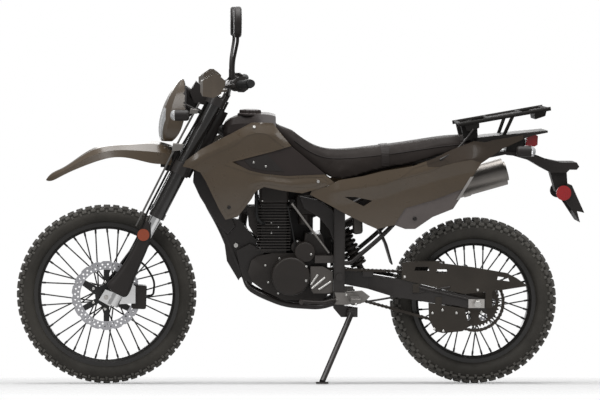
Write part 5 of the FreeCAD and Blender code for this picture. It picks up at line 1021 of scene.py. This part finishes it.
@dataclass
class SeatTrim:
    """Strap and piping of the seat.

    Args:
        strap_x: Where the strap crosses, on the upright bike.
        strap_width: Width of the strap.
        strap_wall: Height of the strap over the cover.
        strap_sunk: Depth of its inner face under the cover.
        middle_z: Height of the line that the strap goes round.
        away: Where looks at the seat start, from that line or from the middle plane.
        sweep: First turn and length of the strap's arc, in degrees.
        strap_steps: Facets of the strap.
        drop: How far below the top the piping runs.
        reach: Front and rear end of the piping.
        pipe_steps: Steps of the piping.
        radius: Radius of the piping.
        view: Heights between which the seat's top is looked for.
    """

    strap_x: float = 359.0
    strap_width: float = 30.0
    strap_wall: float = 3.0
    strap_sunk: float = 1.0
    middle_z: float = 870.0
    away: float = 400.0
    sweep: tuple = (-8, 196)
    strap_steps: int = 40
    drop: float = 34.0
    reach: tuple = (10.0, 690.0)
    pipe_steps: int = 44
    radius: float = 2.0
    view: tuple = (1300, 600)

    def build(self, shop: Workshop, seat: Object) -> Object:
        """Makes the strap and the piping on the finished seat.

        Args:
            shop: Workshop.
            seat: The seat piece.
        Returns:
            The trim piece.
        """
        tree = tree_over(seat.data)
        meshes = [self._strap(shop, tree)] + [self._piping(shop, tree, side) for side in (-1, 1)]
        return shop.piece("seat_trim", joined("seat_trim", meshes), "seam", "frame")

    def _cast(self, shop: Workshop, tree: BVHTree, start: tuple, end: tuple) -> tuple:
        """First point of the seat between two upright points, with its normal."""
        first = shop.stance.point(*start)
        return tree.ray_cast(first, (shop.stance.point(*end) - first).normalized())[:2]

    def _strap(self, shop: Workshop, tree: BVHTree) -> Mesh:
        """Band over the seat from one lower edge to the other."""
        work = bmesh.new()
        rows = []
        for k in range(self.strap_steps + 1):
            turn = math.radians(self.sweep[0] + self.sweep[1] * k / self.strap_steps)
            found = {}
            for x in (self.strap_x - self.strap_width / 2, self.strap_x + self.strap_width / 2):
                start = (x, -self.away * math.cos(turn), self.middle_z + self.away * math.sin(turn))
                found[x] = self._cast(shop, tree, start, (x, 0, self.middle_z))
            if all(place is not None for place, _ in found.values()):
                low, high = ([place + normal * (lift * MM) for place, normal in found.values()]
                             for lift in (-self.strap_sunk, self.strap_wall))
                rows.append([work.verts.new(p) for p in (*low, *reversed(high))])
        skin(work, rows, True, False)
        for end in (rows[0], rows[-1]):
            work.faces.new(end)
        return mesh_of(work, "strap")

    def _piping(self, shop: Workshop, tree: BVHTree, side: int) -> Mesh:
        """Piping along one side of the seat."""
        points = []
        for k in range(self.pipe_steps + 1):
            x = self.reach[0] + (self.reach[1] - self.reach[0]) * k / self.pipe_steps
            top, _ = self._cast(shop, tree, (x, 0, self.view[0]), (x, 0, self.view[1]))
            if top is None:
                continue
            height = shop.stance.upright(top).z - self.drop
            place, normal = self._cast(shop, tree, (x, side * self.away, height), (x, 0, height))
            if place is not None:
                points.append(place + normal * (0.3 * MM))
        return tube_along(shop, "piping", points, self.radius)


@dataclass(frozen=True)
class Ridge:
    """Crease of a panel.

    Args:
        pixels: Pixels of the photo along it, from front to rear.
        height: How far it stands out, in millimetres.
        above: Reach of the slope above it.
        below: Reach of the slope below it.
        rise: How far the edge above it is raised to meet the seat.
        fade: Length over which it grows at either end.
    """

    pixels: tuple
    height: float
    above: float
    below: float
    rise: float = 0.0
    fade: float = 45.0

    def lift(self, x: float, z: float) -> tuple:
        """Height of the crease's slopes and rise of the edge at an upright place."""
        line = [(column(a), level(b)) for a, b in self.pixels]
        if not line[0][0] < x < line[-1][0]:
            return 0.0, 0.0
        for (x0, z0), (x1, z1) in zip(line, line[1:]):
            if x <= x1:
                away = z - (z0 + (z1 - z0) * (x - x0) / (x1 - x0))
                break
        reach = self.above if away > 0 else self.below
        share = max(0.0, 1.0 - abs(away) / reach)
        ends = min(1.0, (x - line[0][0]) / self.fade, (line[-1][0] - x) / self.fade)
        up = self.rise * ends * min(1.0, max(0.0, away / self.above))
        return self.height * share * ends, up


@dataclass
class Panel:
    """A pair of moulded panels with creases that catch the light; it replaces its CAD node.

    Args:
        node: CAD node.
        finish: Key of FINISHES.
        slot: Material slot of the record; not used.
        ridges: Its creases.
        patches: Rows of finish and pixels that outline an area with that finish.
        cell: Size of the mesh cells in millimetres.
        sharp: Angle over which an edge is shaded sharp, in degrees.
    """

    node: str
    finish: str
    slot: str
    ridges: tuple
    patches: tuple = ()
    cell: float = 9.0
    sharp: float = 24.0

    def build(self, shop: Workshop) -> Object:
        """Makes the creased panels.

        Args:
            shop: Workshop.
        Returns:
            The piece.
        """
        work = bmesh.new()
        work.from_mesh(shop.nodes[self.node].data)
        bmesh.ops.remove_doubles(work, verts=work.verts, dist=NEAR)
        work.transform(shop.stance.inverse)
        cut_grid(work, self.cell * MM, NEAR)
        for key, (_, pixels) in enumerate(self.patches, 1):
            self._patch(work, key, pixels)
        for v in work.verts:
            moves = [r.lift(v.co.x / MM, v.co.z / MM) for r in self.ridges]
            v.co.y += math.copysign(sum(m[0] for m in moves) * MM, v.co.y)
            v.co.z += sum(m[1] for m in moves) * MM
        work.transform(shop.stance.matrix)
        for face in work.faces:
            face.smooth = True
        mesh = mesh_of(work, self.node + "_creased", outward=False)
        mesh.set_sharp_from_angle(angle=math.radians(self.sharp))
        shop.cover(self.node, mesh)
        for name in [self.finish] + [patch[0] for patch in self.patches]:
            mesh.materials.append(shop.materials[name])
        return shop.piece(self.node + "_creased", mesh, "", "frame", self.node)

    def _patch(self, work: BMesh, key: int, pixels: tuple) -> None:
        """Cuts the mesh along an outline and marks the faces inside it."""
        line = [Vector((column(a), 0, level(b))) * MM for a, b in pixels]
        sides = list(zip(line, line[1:] + line[:1]))
        for one, two in sides:
            along = two - one
            cut(work, one, Vector((-along.z, 0, along.x)).normalized(), NEAR)
        for face in work.faces:
            spot = face.calc_center_median()
            crossed = sum((one.z > spot.z) != (two.z > spot.z) and
                          spot.x < one.x + (two.x - one.x) * (spot.z - one.z) / (two.z - one.z)
                          for one, two in sides)
            if crossed % 2:
                face.material_index = key


@dataclass(frozen=True)
class Zone:
    """Box of the photo's pixels and of distance across in which faces get another finish."""

    finish: str
    left: float
    right: float
    top: float
    low: float
    outer: float = OUTSIDE

    def holds(self, spot: Vector) -> bool:
        """Whether an upright place lies in the box."""
        px, py = pixel_of(spot)
        return self.left < px < self.right and self.top < py < self.low and abs(spot.y) < self.outer


@dataclass
class Recoloured:
    """A node's own form in several finishes; it replaces the node.

    Args:
        node: CAD node.
        body: Body it rides on.
        slot: Material slot of the record; not used.
        base: Finish of the rest.
        zones: Zones with another finish.
        squeeze: Old top and low pixel rows, new ones, and the columns where the change begins and is whole.
    """

    node: str
    body: str
    slot: str
    base: str
    zones: tuple = ()
    squeeze: tuple = ()

    def build(self, shop: Workshop) -> Object:
        """Makes the piece.

        Args:
            shop: Workshop.
        Returns:
            The piece.
        """
        mesh = shop.nodes[self.node].data.copy()
        mesh.materials.clear()
        for name in [self.base] + [z.finish for z in self.zones]:
            mesh.materials.append(shop.materials[name])
        for face in mesh.polygons:
            spot = shop.stance.upright(face.center)
            face.material_index = next((i + 1 for i, z in enumerate(self.zones) if z.holds(spot)), 0)
        if self.squeeze:
            self._squeezed(shop, mesh)
        return shop.piece(self.node + "_finished", mesh, "", self.body, self.node)

    def _squeezed(self, shop: Workshop, mesh: Mesh) -> None:
        """Moves the rows of the outer part to their new heights."""
        top, low, new_top, new_low, begin, whole = self.squeeze
        for v in mesh.vertices:
            spot = shop.stance.upright(v.co)
            px, py = pixel_of(spot)
            weight = min(1.0, max(0.0, (begin - px) / (begin - whole)))
            moved = new_top + (py - top) * (new_low - new_top) / (low - top)
            v.co = shop.stance.point(spot.x, spot.y, level(py + (moved - py) * weight))


@dataclass
class Plate:
    """A plate or block with rounded edges, outlined by pixels of the photo.

    Args:
        name: Piece name.
        body: Body it rides on.
        finish: Key of FINISHES.
        slot: Material slot of the record; not used.
        pixels: Its outline.
        inner: Distance across of its inner face, in millimetres; negative is the left side.
        outer: Distance across of its outer face.
        bevel: Edge rounding.
        mirrored: Whether the right side has one too.
    """

    name: str
    body: str
    finish: str
    slot: str
    pixels: tuple
    inner: float
    outer: float
    bevel: float = 2.0
    mirrored: bool = False

    def build(self, shop: Workshop) -> Object:
        """Makes the plate.

        Args:
            shop: Workshop.
        Returns:
            The piece.
        """
        meshes = [self._slab(shop, side) for side in ((1, -1) if self.mirrored else (1,))]
        return shop.piece(self.name, joined(self.name, meshes), self.finish, self.body)

    def _slab(self, shop: Workshop, side: int) -> Mesh:
        """One plate."""
        work = bmesh.new()
        face = work.faces.new([work.verts.new(shop.stance.pixel(a, b, self.inner * side)) for a, b in self.pixels])
        moved = bmesh.ops.extrude_face_region(work, geom=[face])["geom"]
        push = shop.stance.turn @ Vector((0, (self.outer - self.inner) * side, 0)) * MM
        bmesh.ops.translate(work, vec=push, verts=[g for g in moved if isinstance(g, BMVert)])
        return shop.shaped(self.name, mesh_of(work, self.name), ("BEVEL", {"width": self.bevel * MM, "segments": 3}))


@dataclass
class Overlay:
    """A thin sheet laid on both outer sides of a node, outlined by pixels of the photo.

    Args:
        name: Piece name.
        node: CAD node that carries it.
        finish: Key of FINISHES.
        slot: Material slot of the record; not used.
        pixels: Its outline.
        proud: Height of its outer face over the node, in millimetres.
        cell: Size of the mesh cells.
        near: Points this near to a cutting plane count as on it, in millimetres.
        sharp: Angle over which an edge is shaded sharp, in degrees.
    """

    name: str
    node: str
    finish: str
    slot: str
    pixels: tuple
    proud: float = 1.0
    cell: float = 9.0
    near: float = 0.001
    sharp: float = 40.0

    def build(self, shop: Workshop) -> Object:
        """Makes the sheet on the left side and its mirror image on the right one.

        Args:
            shop: Workshop.
        Returns:
            The piece.
        """
        work = bmesh.new()
        work.faces.new([work.verts.new((column(a), 0, level(b))) for a, b in self.pixels])
        cut_grid(work, self.cell, self.near)
        hits = [shop.hit(self.node, v.co.x, v.co.z) for v in work.verts]
        heights = [shop.stance.upright(found[0]).y if found else None for found in hits]
        met = sorted(y for y in heights if y is not None)
        usual = met[len(met) // 2]
        spots = [(v.co.copy(), usual if y is None else y) for v, y in zip(work.verts, heights)]
        meshes = []
        for side in (1, -1):
            for v, (flat, y) in zip(work.verts, spots):
                v.co = shop.stance.point(flat.x, (y - self.proud) * side, flat.z)
            mesh = shop.shaped(self.name, mesh_of(work.copy(), self.name),
                               ("SOLIDIFY", {"thickness": self.proud * SHEET_DEPTH * MM, "offset": 0}))
            for face in mesh.polygons:
                face.use_smooth = True
            mesh.set_sharp_from_angle(angle=math.radians(self.sharp))
            meshes.append(mesh)
        work.free()
        return shop.piece(self.name, joined(self.name, meshes), self.finish, "frame")


@dataclass
class Rod:
    """A rod, hose or rib along pixels of the photo.

    Args:
        name: Piece name.
        body: Body it rides on.
        finish: Key of FINISHES.
        radius: Radius in millimetres.
        points: Rows of pixel and distance across; a node's name instead of a distance seats it there.
    """

    name: str
    body: str
    finish: str
    radius: float
    points: tuple

    def build(self, shop: Workshop) -> Object:
        """Makes the rod.

        Args:
            shop: Workshop.
        Returns:
            The piece.
        """
        places = []
        for px, py, across in self.points:
            if not isinstance(across, str):
                places.append(shop.stance.pixel(px, py, across))
                continue
            found = shop.hit(across, column(px), level(py))
            if found:
                places.append(found[0])
            else:
                LOG.info("%s: nothing at %s,%s", self.name, px, py)
        return shop.piece(self.name, tube_along(shop, self.name, places, self.radius), self.finish, self.body)


@dataclass
class GripFlanges:
    """Flanges at the inner ends of the grips.

    Args:
        radius: Radius of a flange.
        wall: Its length along the grip.
        band: Points this near to an end of the grip give that end's middle.
    """

    radius: float = 31.0
    wall: float = 13.0
    band: float = 12.0

    def build(self, shop: Workshop) -> Object:
        """Makes both flanges.

        Args:
            shop: Workshop.
        Returns:
            The piece.
        """
        meshes = []
        for side in (-1, 1):
            here = shop.spots("grips", side)
            inner = min(p.y * side for p in here)
            outer = max(p.y * side for p in here)
            near = [p for p in here if p.y * side < inner + self.band]
            far = [p for p in here if p.y * side > outer - self.band]
            start = sum(near, Vector()) / len(near)
            along = (sum(far, Vector()) / len(far) - start).normalized()
            points = [shop.stance.point(*(start + along * (self.wall * k / 3))) for k in range(4)]
            meshes.append(tube_along(shop, "flange", points, self.radius))
        whole = joined("grip_flanges", meshes)
        return shop.piece("grip_flanges", whole, "black_plastic", "steering")


@dataclass
class Spokes:
    """Laced spokes with their nipples, over the thinner CAD ones.

    Args:
        name: Piece name.
        body: Wheel body.
        centre: Axle point of the upright bike.
        hub_half: Half width of the hub.
        rim_radius: Where the spokes meet the rim.
        count: Number of spokes.
        radius: Radius of a spoke.
        hub_radius: Where the spokes meet the hub.
        lace: Pitches between a spoke's ends, round the axle.
        nipple: Diameter and length of a nipple.
        flange: Distance of the spokes from the hub's end.
        stagger: Distance between inner and outer spokes of a flange, halved.
    """

    name: str
    body: str
    centre: tuple
    hub_half: float
    rim_radius: float
    count: int = 36
    radius: float = 2.7
    hub_radius: float = 35.0
    lace: float = 5.2
    nipple: tuple = (8.0, 15.0)
    flange: float = 3.0
    stagger: float = 2.2

    def build(self, shop: Workshop, scatter: Scatter) -> Object:
        """Makes the spokes.

        Args:
            shop: Workshop.
            scatter: Repeater.
        Returns:
            The piece.
        """
        rods, nipples = [], []
        pitch = 2 * math.pi / self.count
        aside = shop.stance.turn @ Vector((0.1, 1, 0.2))
        for i in range(self.count):
            side = 1 if i % 2 else -1
            lean = 1 if (i // 2) % 2 else -1
            hub_y = side * (self.hub_half - self.flange - lean * self.stagger)
            start = self._spot(pitch * (i + lean * self.lace), self.hub_radius, hub_y)
            end = self._spot(pitch * i, self.rim_radius, 0)
            along = end - start
            axis = shop.stance.turn @ along
            wide, (nipple_wide, nipple_long) = self.radius * 2, self.nipple
            rods.append(Station(shop.stance.point(*((start + end) / 2)), axis, aside,
                                Vector((wide, wide, along.length)) * MM))
            seat = end - along.normalized() * (nipple_long / 2)
            nipples.append(Station(shop.stance.point(*seat), axis, aside,
                                   Vector((nipple_wide, nipple_wide, nipple_long)) * MM))
        meshes = [scatter.spread(self.name + "_rods", rods, Form.ROUND, "wheel_black"),
                  scatter.spread(self.name + "_nipples", nipples, Form.ROUND, "wheel_black", 0.8)]
        return shop.piece(self.name, joined(self.name, meshes), "", self.body)

    def _spot(self, turn: float, radius: float, y: float) -> Vector:
        """Upright point at a turn round the axle."""
        return Vector(self.centre) + Vector((math.cos(turn) * radius, y, math.sin(turn) * radius))


@dataclass
class FuelCap:
    """The turned filler cap with finger notches; it replaces the CAD cap.

    Args:
        profile: Rows of share of the CAD cap's radius and of its height.
        notches: Number of notches.
        notch: Depth of a notch, as a share of the radius.
        facets: Facets for each notch.
        grip: Shares of the height between which the notches are.
    """

    profile: tuple = ((1.08, 0.0), (1.08, 0.24), (1.0, 0.33), (0.93, 0.38), (0.91, 0.74), (0.84, 0.88), (0.6, 0.96),
                      (0.2, 1.0))
    notches: int = 18
    notch: float = 0.035
    facets: int = 6
    grip: tuple = (0.3, 0.8)

    def build(self, shop: Workshop) -> Object:
        """Makes the cap.

        Args:
            shop: Workshop.
        Returns:
            The piece.
        """
        spots = shop.spots("fuel_cap")
        low, high = min(p.z for p in spots), max(p.z for p in spots)
        front, back = min(p.x for p in spots), max(p.x for p in spots)
        steps = self.notches * self.facets
        rows = []
        for share, rise in self.profile:
            ring = []
            for k in range(steps):
                turn = 2 * math.pi * k / steps
                notched = self.grip[0] < rise < self.grip[1] and k % self.facets < 2
                reach = (back - front) / 2 * share * (1 - (self.notch if notched else 0.0))
                ring.append(((front + back) / 2 + math.cos(turn) * reach, math.sin(turn) * reach,
                             low + (high - low) * rise))
            rows.append(ring)
        mesh = shop.loft("filler_cap", rows, True, False, (-1, 0))
        return shop.piece("filler_cap", mesh, "charcoal", "frame", "fuel_cap")


def ring_pixels(middle: tuple, radius: float, count: int, phase: float) -> tuple:
    """Pixels on a circle, for screw circles.

    Args:
        middle: Its middle.
        radius: Its radius.
        count: How many.
        phase: Turn of the first one, in degrees.
    Returns:
        The pixels.
    """
    turns = [math.radians(phase + 360 * k / count) for k in range(count)]
    return tuple((middle[0] + math.cos(t) * radius, middle[1] - math.sin(t) * radius) for t in turns)


def seated(node: str, *pixels: tuple) -> tuple:
    """Points of a rod that lie on a node.

    Args:
        node: CAD node.
        pixels: Pixels of the photo along the rod.
    Returns:
        Rows for Rod.points.
    """
    return tuple((px, py, node) for px, py in pixels)


class Studio:
    """Camera, lamps, floor and world."""

    DISTANCE = 10.0
    AZIMUTH = -2.8
    ELEVATION = -3.3
    # The photo's width and the pixel at its middle
    WIDTH = 600
    MIDDLE = (300.0, 200.0)
    # Rows of name, place, size and power; every lamp looks at LOOK
    LAMPS = (("lamp_top", (0.0, -0.6, 4.6), 4.5, 330.0), ("lamp_front_left", (-3.6, -4.8, 3.4), 2.6, 95.0),
             ("lamp_rear_left", (3.6, -4.6, 3.0), 2.6, 60.0), ("lamp_far", (0.0, 4.5, 2.4), 3.0, 90.0))
    LOOK = (0, 0, 0.7)
    WORLD_LEVEL = 0.42
    FLOOR_TONE = 0.50
    FLOOR_REACH = 6.0
    FLOOR_Z = -0.0005
    # Distances from the origin between which the floor fades out
    FADE = (1.3, 2.6)

    def __init__(self, shop: Workshop) -> None:
        """Keeps the workshop."""
        self.shop = shop

    def camera(self) -> None:
        """Puts the camera at the photo's viewing angle."""
        turn, rise = math.radians(self.AZIMUTH), math.radians(self.ELEVATION)
        back = Vector((math.sin(turn) * math.cos(rise), -math.cos(turn) * math.cos(rise), math.sin(rise)))
        data = bpy.data.cameras.new("camera")
        data.lens = data.sensor_width * self.DISTANCE / (self.WIDTH * PIXEL * MM)
        camera = linked("camera", data)
        camera.location = self.shop.stance.pixel(*self.MIDDLE, 0.0) + back * self.DISTANCE
        self._aim(camera, -back)
        bpy.context.scene.camera = camera

    def _aim(self, obj: Object, toward: Vector) -> None:
        """Turns a camera or lamp towards a direction."""
        obj.rotation_mode = "QUATERNION"
        obj.rotation_quaternion = toward.to_track_quat("-Z", "Y")

    def lamp(self, name: str, place: tuple, size: float, power: float) -> None:
        """Adds a soft square lamp that looks at the bike's middle."""
        data = bpy.data.lights.new(name, "AREA")
        data.size = size
        data.energy = power
        obj = linked(name, data)
        obj.location = place
        self._aim(obj, Vector(self.LOOK) - Vector(place))

    def world(self) -> None:
        """White for the camera and through lenses, a plain level of light otherwise."""
        world = bpy.data.worlds.new("studio")
        world.use_nodes = True
        bpy.context.scene.world = world
        tree = world.node_tree
        path = grown(tree, "ShaderNodeLightPath")
        first = grown(tree, "ShaderNodeMath", path.outputs["Is Camera Ray"], path.outputs["Is Transmission Ray"],
                      operation="MAXIMUM")
        shown = grown(tree, "ShaderNodeMapRange", first.outputs["Value"], To_Min=self.WORLD_LEVEL)
        feed(tree, tree.nodes["Background"], (1, 1, 1, 1), shown.outputs["Result"])

    def floor(self) -> None:
        """Pale floor that keeps the shadow near the bike and fades into the white further out."""
        mesh = bpy.data.meshes.new("studio_floor")
        corners = ((-1, -1), (1, -1), (1, 1), (-1, 1))
        mesh.from_pydata([(x * self.FLOOR_REACH, y * self.FLOOR_REACH, self.FLOOR_Z) for x, y in corners], [],
                         [(0, 1, 2, 3)])
        pale = bpy.data.materials.new("pale_floor")
        pale.use_nodes = True
        tree = pale.node_tree
        shader = tree.nodes["Principled BSDF"]
        feed(tree, shader, Base_Color=(*[self.FLOOR_TONE] * 3, 1), Roughness=0.9, Specular_IOR_Level=0.0)
        place = grown(tree, "ShaderNodeTexCoord").outputs["Object"]
        far = grown(tree, "ShaderNodeVectorMath", place, operation="LENGTH")
        spread = grown(tree, "ShaderNodeMapRange", far.outputs["Value"], *self.FADE)
        clear = grown(tree, "ShaderNodeBsdfTransparent")
        fade = grown(tree, "ShaderNodeMixShader", spread.outputs["Result"], shader.outputs["BSDF"],
                     clear.outputs["BSDF"])
        feed(tree, tree.nodes["Material Output"], fade.outputs["Shader"])
        mesh.materials.append(pale)
        linked("studio_floor", mesh)

    def build(self) -> None:
        """Sets up the whole studio."""
        self.camera()
        for row in self.LAMPS:
            self.lamp(*row)
        self.world()
        self.floor()
        bpy.context.scene.view_settings.view_transform = "Standard"


FRONT_TYRE = Tyre(
    "front_tyre", "front_wheel", Vector(FRONT_AXLE),
    ((0, 336.0), (14, 335.4), (26, 332.5), (35, 326), (40.5, 315), (41, 305), (38.5, 294), (32, 285), (25, 280),
     (21.4, 279)),
    (KnobRow(9.5, 346.8, 25, 15, 15, 0.0, 4), KnobRow(26, 342.5, 24, 12, 15, 0.0, 24),
     KnobRow(37, 333.5, 19, 13, 13, 0.5, 52), KnobRow(40, 325, 9, 12, 5, 0.0, 80)), 60)
REAR_TYRE = Tyre(
    "rear_tyre", "rear_wheel", Vector(REAR_AXLE),
    ((0, 309.0), (20, 308), (36, 304), (47, 296), (53.5, 284), (55, 271), (52, 257), (43, 247), (32, 242.5),
     (26.6, 241)),
    (KnobRow(12.5, 323.8, 26, 20, 19, 0.0, 3), KnobRow(35, 319, 25, 17, 19, 0.0, 20),
     KnobRow(49, 305, 22, 15, 16, 0.5, 48), KnobRow(54, 292, 10, 12, 5, 0.0, 78)), 57)

SCREWS = (
    Screws("shroud_screws", "tank_shrouds", "frame", ((252.5, 125.5), (316, 179)), 6, 4),
    Screws("shroud_low_screws", "tank_shrouds", "frame", ((228, 204),), 7, 5, "black_plastic"),
    Screws("case_screws", "crankcase", "frame",
           ((265, 264), (268, 281), (279, 257), (291, 248), (305, 264), (305, 278), (278, 292), (292, 293),
            (310, 252), (272, 294), (297, 240)), 4.5, 5),
    Screws("spar_screws", "main_frame", "frame", ((338, 298), (236, 245), (338.5, 273.5)), 9, 6),
    Screws("plate_screws", "main_frame", "frame", ((243, 262), (246, 276), (232, 228)), 5, 4),
    Screws("cover_screws", "lower_side_cover", "frame", ((412, 215.5),), 8, 4, "black_plastic"),
    Screws("guard_screws", "chain_guards", "frame",
           ((403, 274), (476, 287), (431, 310), (441, 307), (455, 310), (433, 326), (442, 328)), 5, 4),
    Screws("clamp_screws", "fork_clamps", "steering", ((204, 104), (210, 103), (208, 108), (170, 160)), 5, 5),
    Screws("disc_screws", "front_disc", "front_wheel", ring_pixels((106.2, 294.6), 13.5, 6, 30), 5.5, 4),
    Screws("sprocket_screws", "rear_sprocket", "rear_wheel", ring_pixels((474.8, 299.6), 12.5, 6, 0), 5.5, 5),
    Screws("axle_nut", "rear_axle", "frame", ((475.5, 300.5),), 15, 10, "bolt", Form.HEX),
    Screws("peg_screws", "foot_controls", "frame", ((345, 292), (353, 298)), 4.5, 6),
    Screws("cylinder_screws", "cylinder", "frame",
           ((271, 222), (271, 232), (278, 226), (262, 200), (288, 200)), 3.5, 5),
    Screws("recess_screws", "tank_side_panels", "frame", ((252, 160), (264, 164)), 4, 6),
)
PANELS = (
    Panel("tank_shrouds", "olive", "olive_plastic",
          (Ridge(((186, 163), (205, 152), (222, 144), (236, 137), (252, 131), (274, 133), (286, 142)), 8.0, 36, 70),
           Ridge(((246, 181), (262, 178), (290, 182), (318, 179), (332, 182)), 5.0, 20, 24))),
    Panel("side_panels", "olive", "olive_plastic",
          (Ridge(((325, 190), (350, 186), (380, 181), (400, 174), (430, 165), (462, 157), (482, 155)),
                 11.0, 40, 52, 17),),
          # The tail cover in the darker olive is painted shade where the panel turns under
          (("olive_tail_shade", ((418, 150), (470, 138), (540, 122), (540, 140), (513, 142), (498, 149), (484, 157),
                           (477, 160), (468, 157), (450, 160), (436, 164), (424, 165))),)),
)
RECOLOURED = (
    Recoloured("foot_controls", "frame", "steel", "cast_alloy", (Zone("engine_black", 280, 334.5, 270, 330),)),
    Recoloured("rear_lamps", "frame", "lamp_red", "lamp_red", (Zone("black_plastic", 540, 585, 175, 215, 86.5),)),
    Recoloured("headlight_cowl", "steering", "olive_plastic", "olive", (Zone("black_plastic", 184, 215, 80, 150),)),
    Recoloured("handguards", "steering", "grey_plastic", "guard_brown",
               squeeze=(66, 99, 74, 102, 232, 224)),
)
PLATES = (
    Plate("head_gusset", "frame", "frame_black", "frame_black",
          ((194, 167), (204, 167), (214, 185), (226, 205), (236, 226), (228, 235), (220, 228), (211, 214), (200, 197),
           (193, 182)), -26, 26, 6),
    Plate("spar_gussets", "frame", "frame_black", "frame_black",
          ((298, 194), (316, 198), (331, 207), (341, 220), (334, 244), (328, 228), (318, 216), (303, 207)),
          -62, -84, 4, True),
    Plate("engine_mounts", "frame", "frame_black", "frame_black",
          ((236, 250), (250, 243), (264, 250), (262, 264), (255, 272), (251, 287), (245, 283), (240, 268)),
          -30, -42, 2, True),
    Plate("fender_mount", "steering", "black_plastic", "black_plastic",
          ((165, 148), (181, 145), (178, 172), (165, 170)), -52, 52, 4),
    Plate("hose_clips", "steering", "cast_alloy", "bare_alloy", ((173, 142), (184, 143), (182, 149), (172, 150)),
          -100, -128, 3),
    Plate("hose_clip_top", "steering", "cast_alloy", "bare_alloy", ((190, 108), (198, 109), (197, 113), (189, 113)),
          -100, -120, 2),
    Plate("far_shield", "frame", "engine_black", "engine_black",
          ((255, 200), (264, 190), (312, 189), (331, 198), (333, 215), (322, 216), (314, 219), (314, 237),
           (322, 240), (333, 238), (333, 262), (262, 262), (262, 240), (255, 232)), 60, 66, 2),
    Plate("far_strip", "frame", "engine_black", "engine_black", ((321, 213), (334, 213), (334, 241), (321, 241)),
          60, 66, 2),
    Plate("reservoir", "frame", "dark_alloy", "engine_black", ((351, 213), (361, 212), (362, 232), (352, 233)),
          -52, -86, 12),
    Plate("horn", "frame", "engine_black", "engine_black",
          ((247, 206), (264, 206), (264, 238), (255, 236), (249, 226)), -24, 24, 6),
    Plate("vent_box", "frame", "black_plastic", "black_plastic", ((338, 188), (372, 190), (372, 208), (342, 206)),
          -56, -98, 3),
    Plate("peg_plate", "frame", "cast_alloy", "bare_alloy",
          ((345, 289), (361, 288), (369, 294), (363, 300), (352, 303), (346, 300)), -99, -105, 2),
    Plate("rack_blocks", "frame", "rack_black", "frame_black", ((458, 124), (474, 119.5), (475, 136), (462, 140)),
          -72, -100, 4, True),
    Plate("lamp_shell", "steering", "black_plastic", "black_plastic",
          ((184, 85), (192, 90), (191, 96), (198, 103), (196, 111), (187, 119), (182, 121), (178, 110)), -56, 56, 10),
)
OVERLAYS = (
    # A black sheet on the charcoal panel where it is recessed: painted shade in the recess
    Overlay("recess_shade_sheet", "tank_side_panels", "black_plastic", "charcoal_plastic",
            ((243, 158), (265, 152), (282, 169), (263, 168), (250, 165))),
    Overlay("heat_strip", "side_panels", "steel", "steel", ((467, 174), (470, 174), (456, 197), (453, 197)), 1.2),
)
RODS = (
    Rod("engine_stay", "frame", "cast_alloy", 4.5, ((291, 202, -80), (309, 226, -84), (328, 251, -88))),
    Rod("throttle_cable", "frame", "rubber", 3.0, ((287, 205, -66), (291, 224, -70), (295, 246, -66))),
    Rod("intake_duct", "frame", "rubber", 21.0, ((314, 207, -20), (323, 205, -16), (334, 203, -10))),
    Rod("rack_stay", "frame", "frame_black", 4.0,
        ((470, 127, "cargo_rack"), (461, 139, -128), (450, 150, -138), (436, 157, "side_panels"))),
    Rod("cover_rib_low", "frame", "bolt", 5.0, seated("sprocket_cover", (310, 282), (317, 272))),
    Rod("cover_rib_mid", "frame", "bolt", 5.0, seated("sprocket_cover", (311, 286), (324, 275))),
    Rod("cover_rib_high", "frame", "bolt", 5.0, seated("sprocket_cover", (318, 287), (330, 279))),
    Rod("arm_bead", "frame", "frame_black", 5.5,
        seated("swingarm", (352, 268), (380, 275), (410, 283), (440, 290), (466, 296))),
    Rod("guard_stay", "frame", "frame_black", 4.0, ((366, 299, -104), (380, 297, -108), (448, 284, "chain_guards"))),
    Rod("muffler_hoop", "frame", "frame_black", 4.0,
        ((460, 188, 70), (459, 200, 70), (450, 209, 66), (436, 212, 60))),
    Rod("brake_pipe", "steering", "hose", 4.0,
        ((199, 102, -110), (180, 137, -118), (160, 177, -120), (142, 213, -118), (137, 224, -108))),
)
SPOKES = (
    Spokes("front_spokes", "front_wheel", FRONT_AXLE, 34.0, 253.4),
    Spokes("rear_spokes", "rear_wheel", REAR_AXLE, 44.0, 215.0),
)
LENSES = (
    Lens("front_signal_lenses", "front_signals", "steering", "clear_lens", -1, 17.0, 0.97, "lens_clear"),
    Lens("rear_signal_lenses", "rear_signals", "frame", "clear_lens", 1, 18.0, 1.0, "lens_clear"),
    Lens("mirror_glasses", "mirrors", "steering", "mirror", 1, 0.8, 0.96, "chrome"),
)


def main() -> None:
    """Builds the whole scene."""
    logging.basicConfig(level=logging.INFO)
    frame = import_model()
    shop = Workshop(frame)
    scatter = Scatter(shop)
    Studio(shop).build()
    shop.paint_nodes()
    for panel in PANELS:
        panel.build(shop)
    for repeated in (FRONT_TYRE, REAR_TYRE) + SCREWS:
        repeated.build(shop, scatter)
    for maker in LENSES + (ForkGuards(), FuelCap(), GripFlanges()) + RECOLOURED + PLATES + OVERLAYS + RODS:
        maker.build(shop)
    for spokes in SPOKES:
        spokes.build(shop, scatter)
    seat = Seat().build(shop)
    SeatTrim().build(shop, seat)


if __name__ == "__main__":
    main()
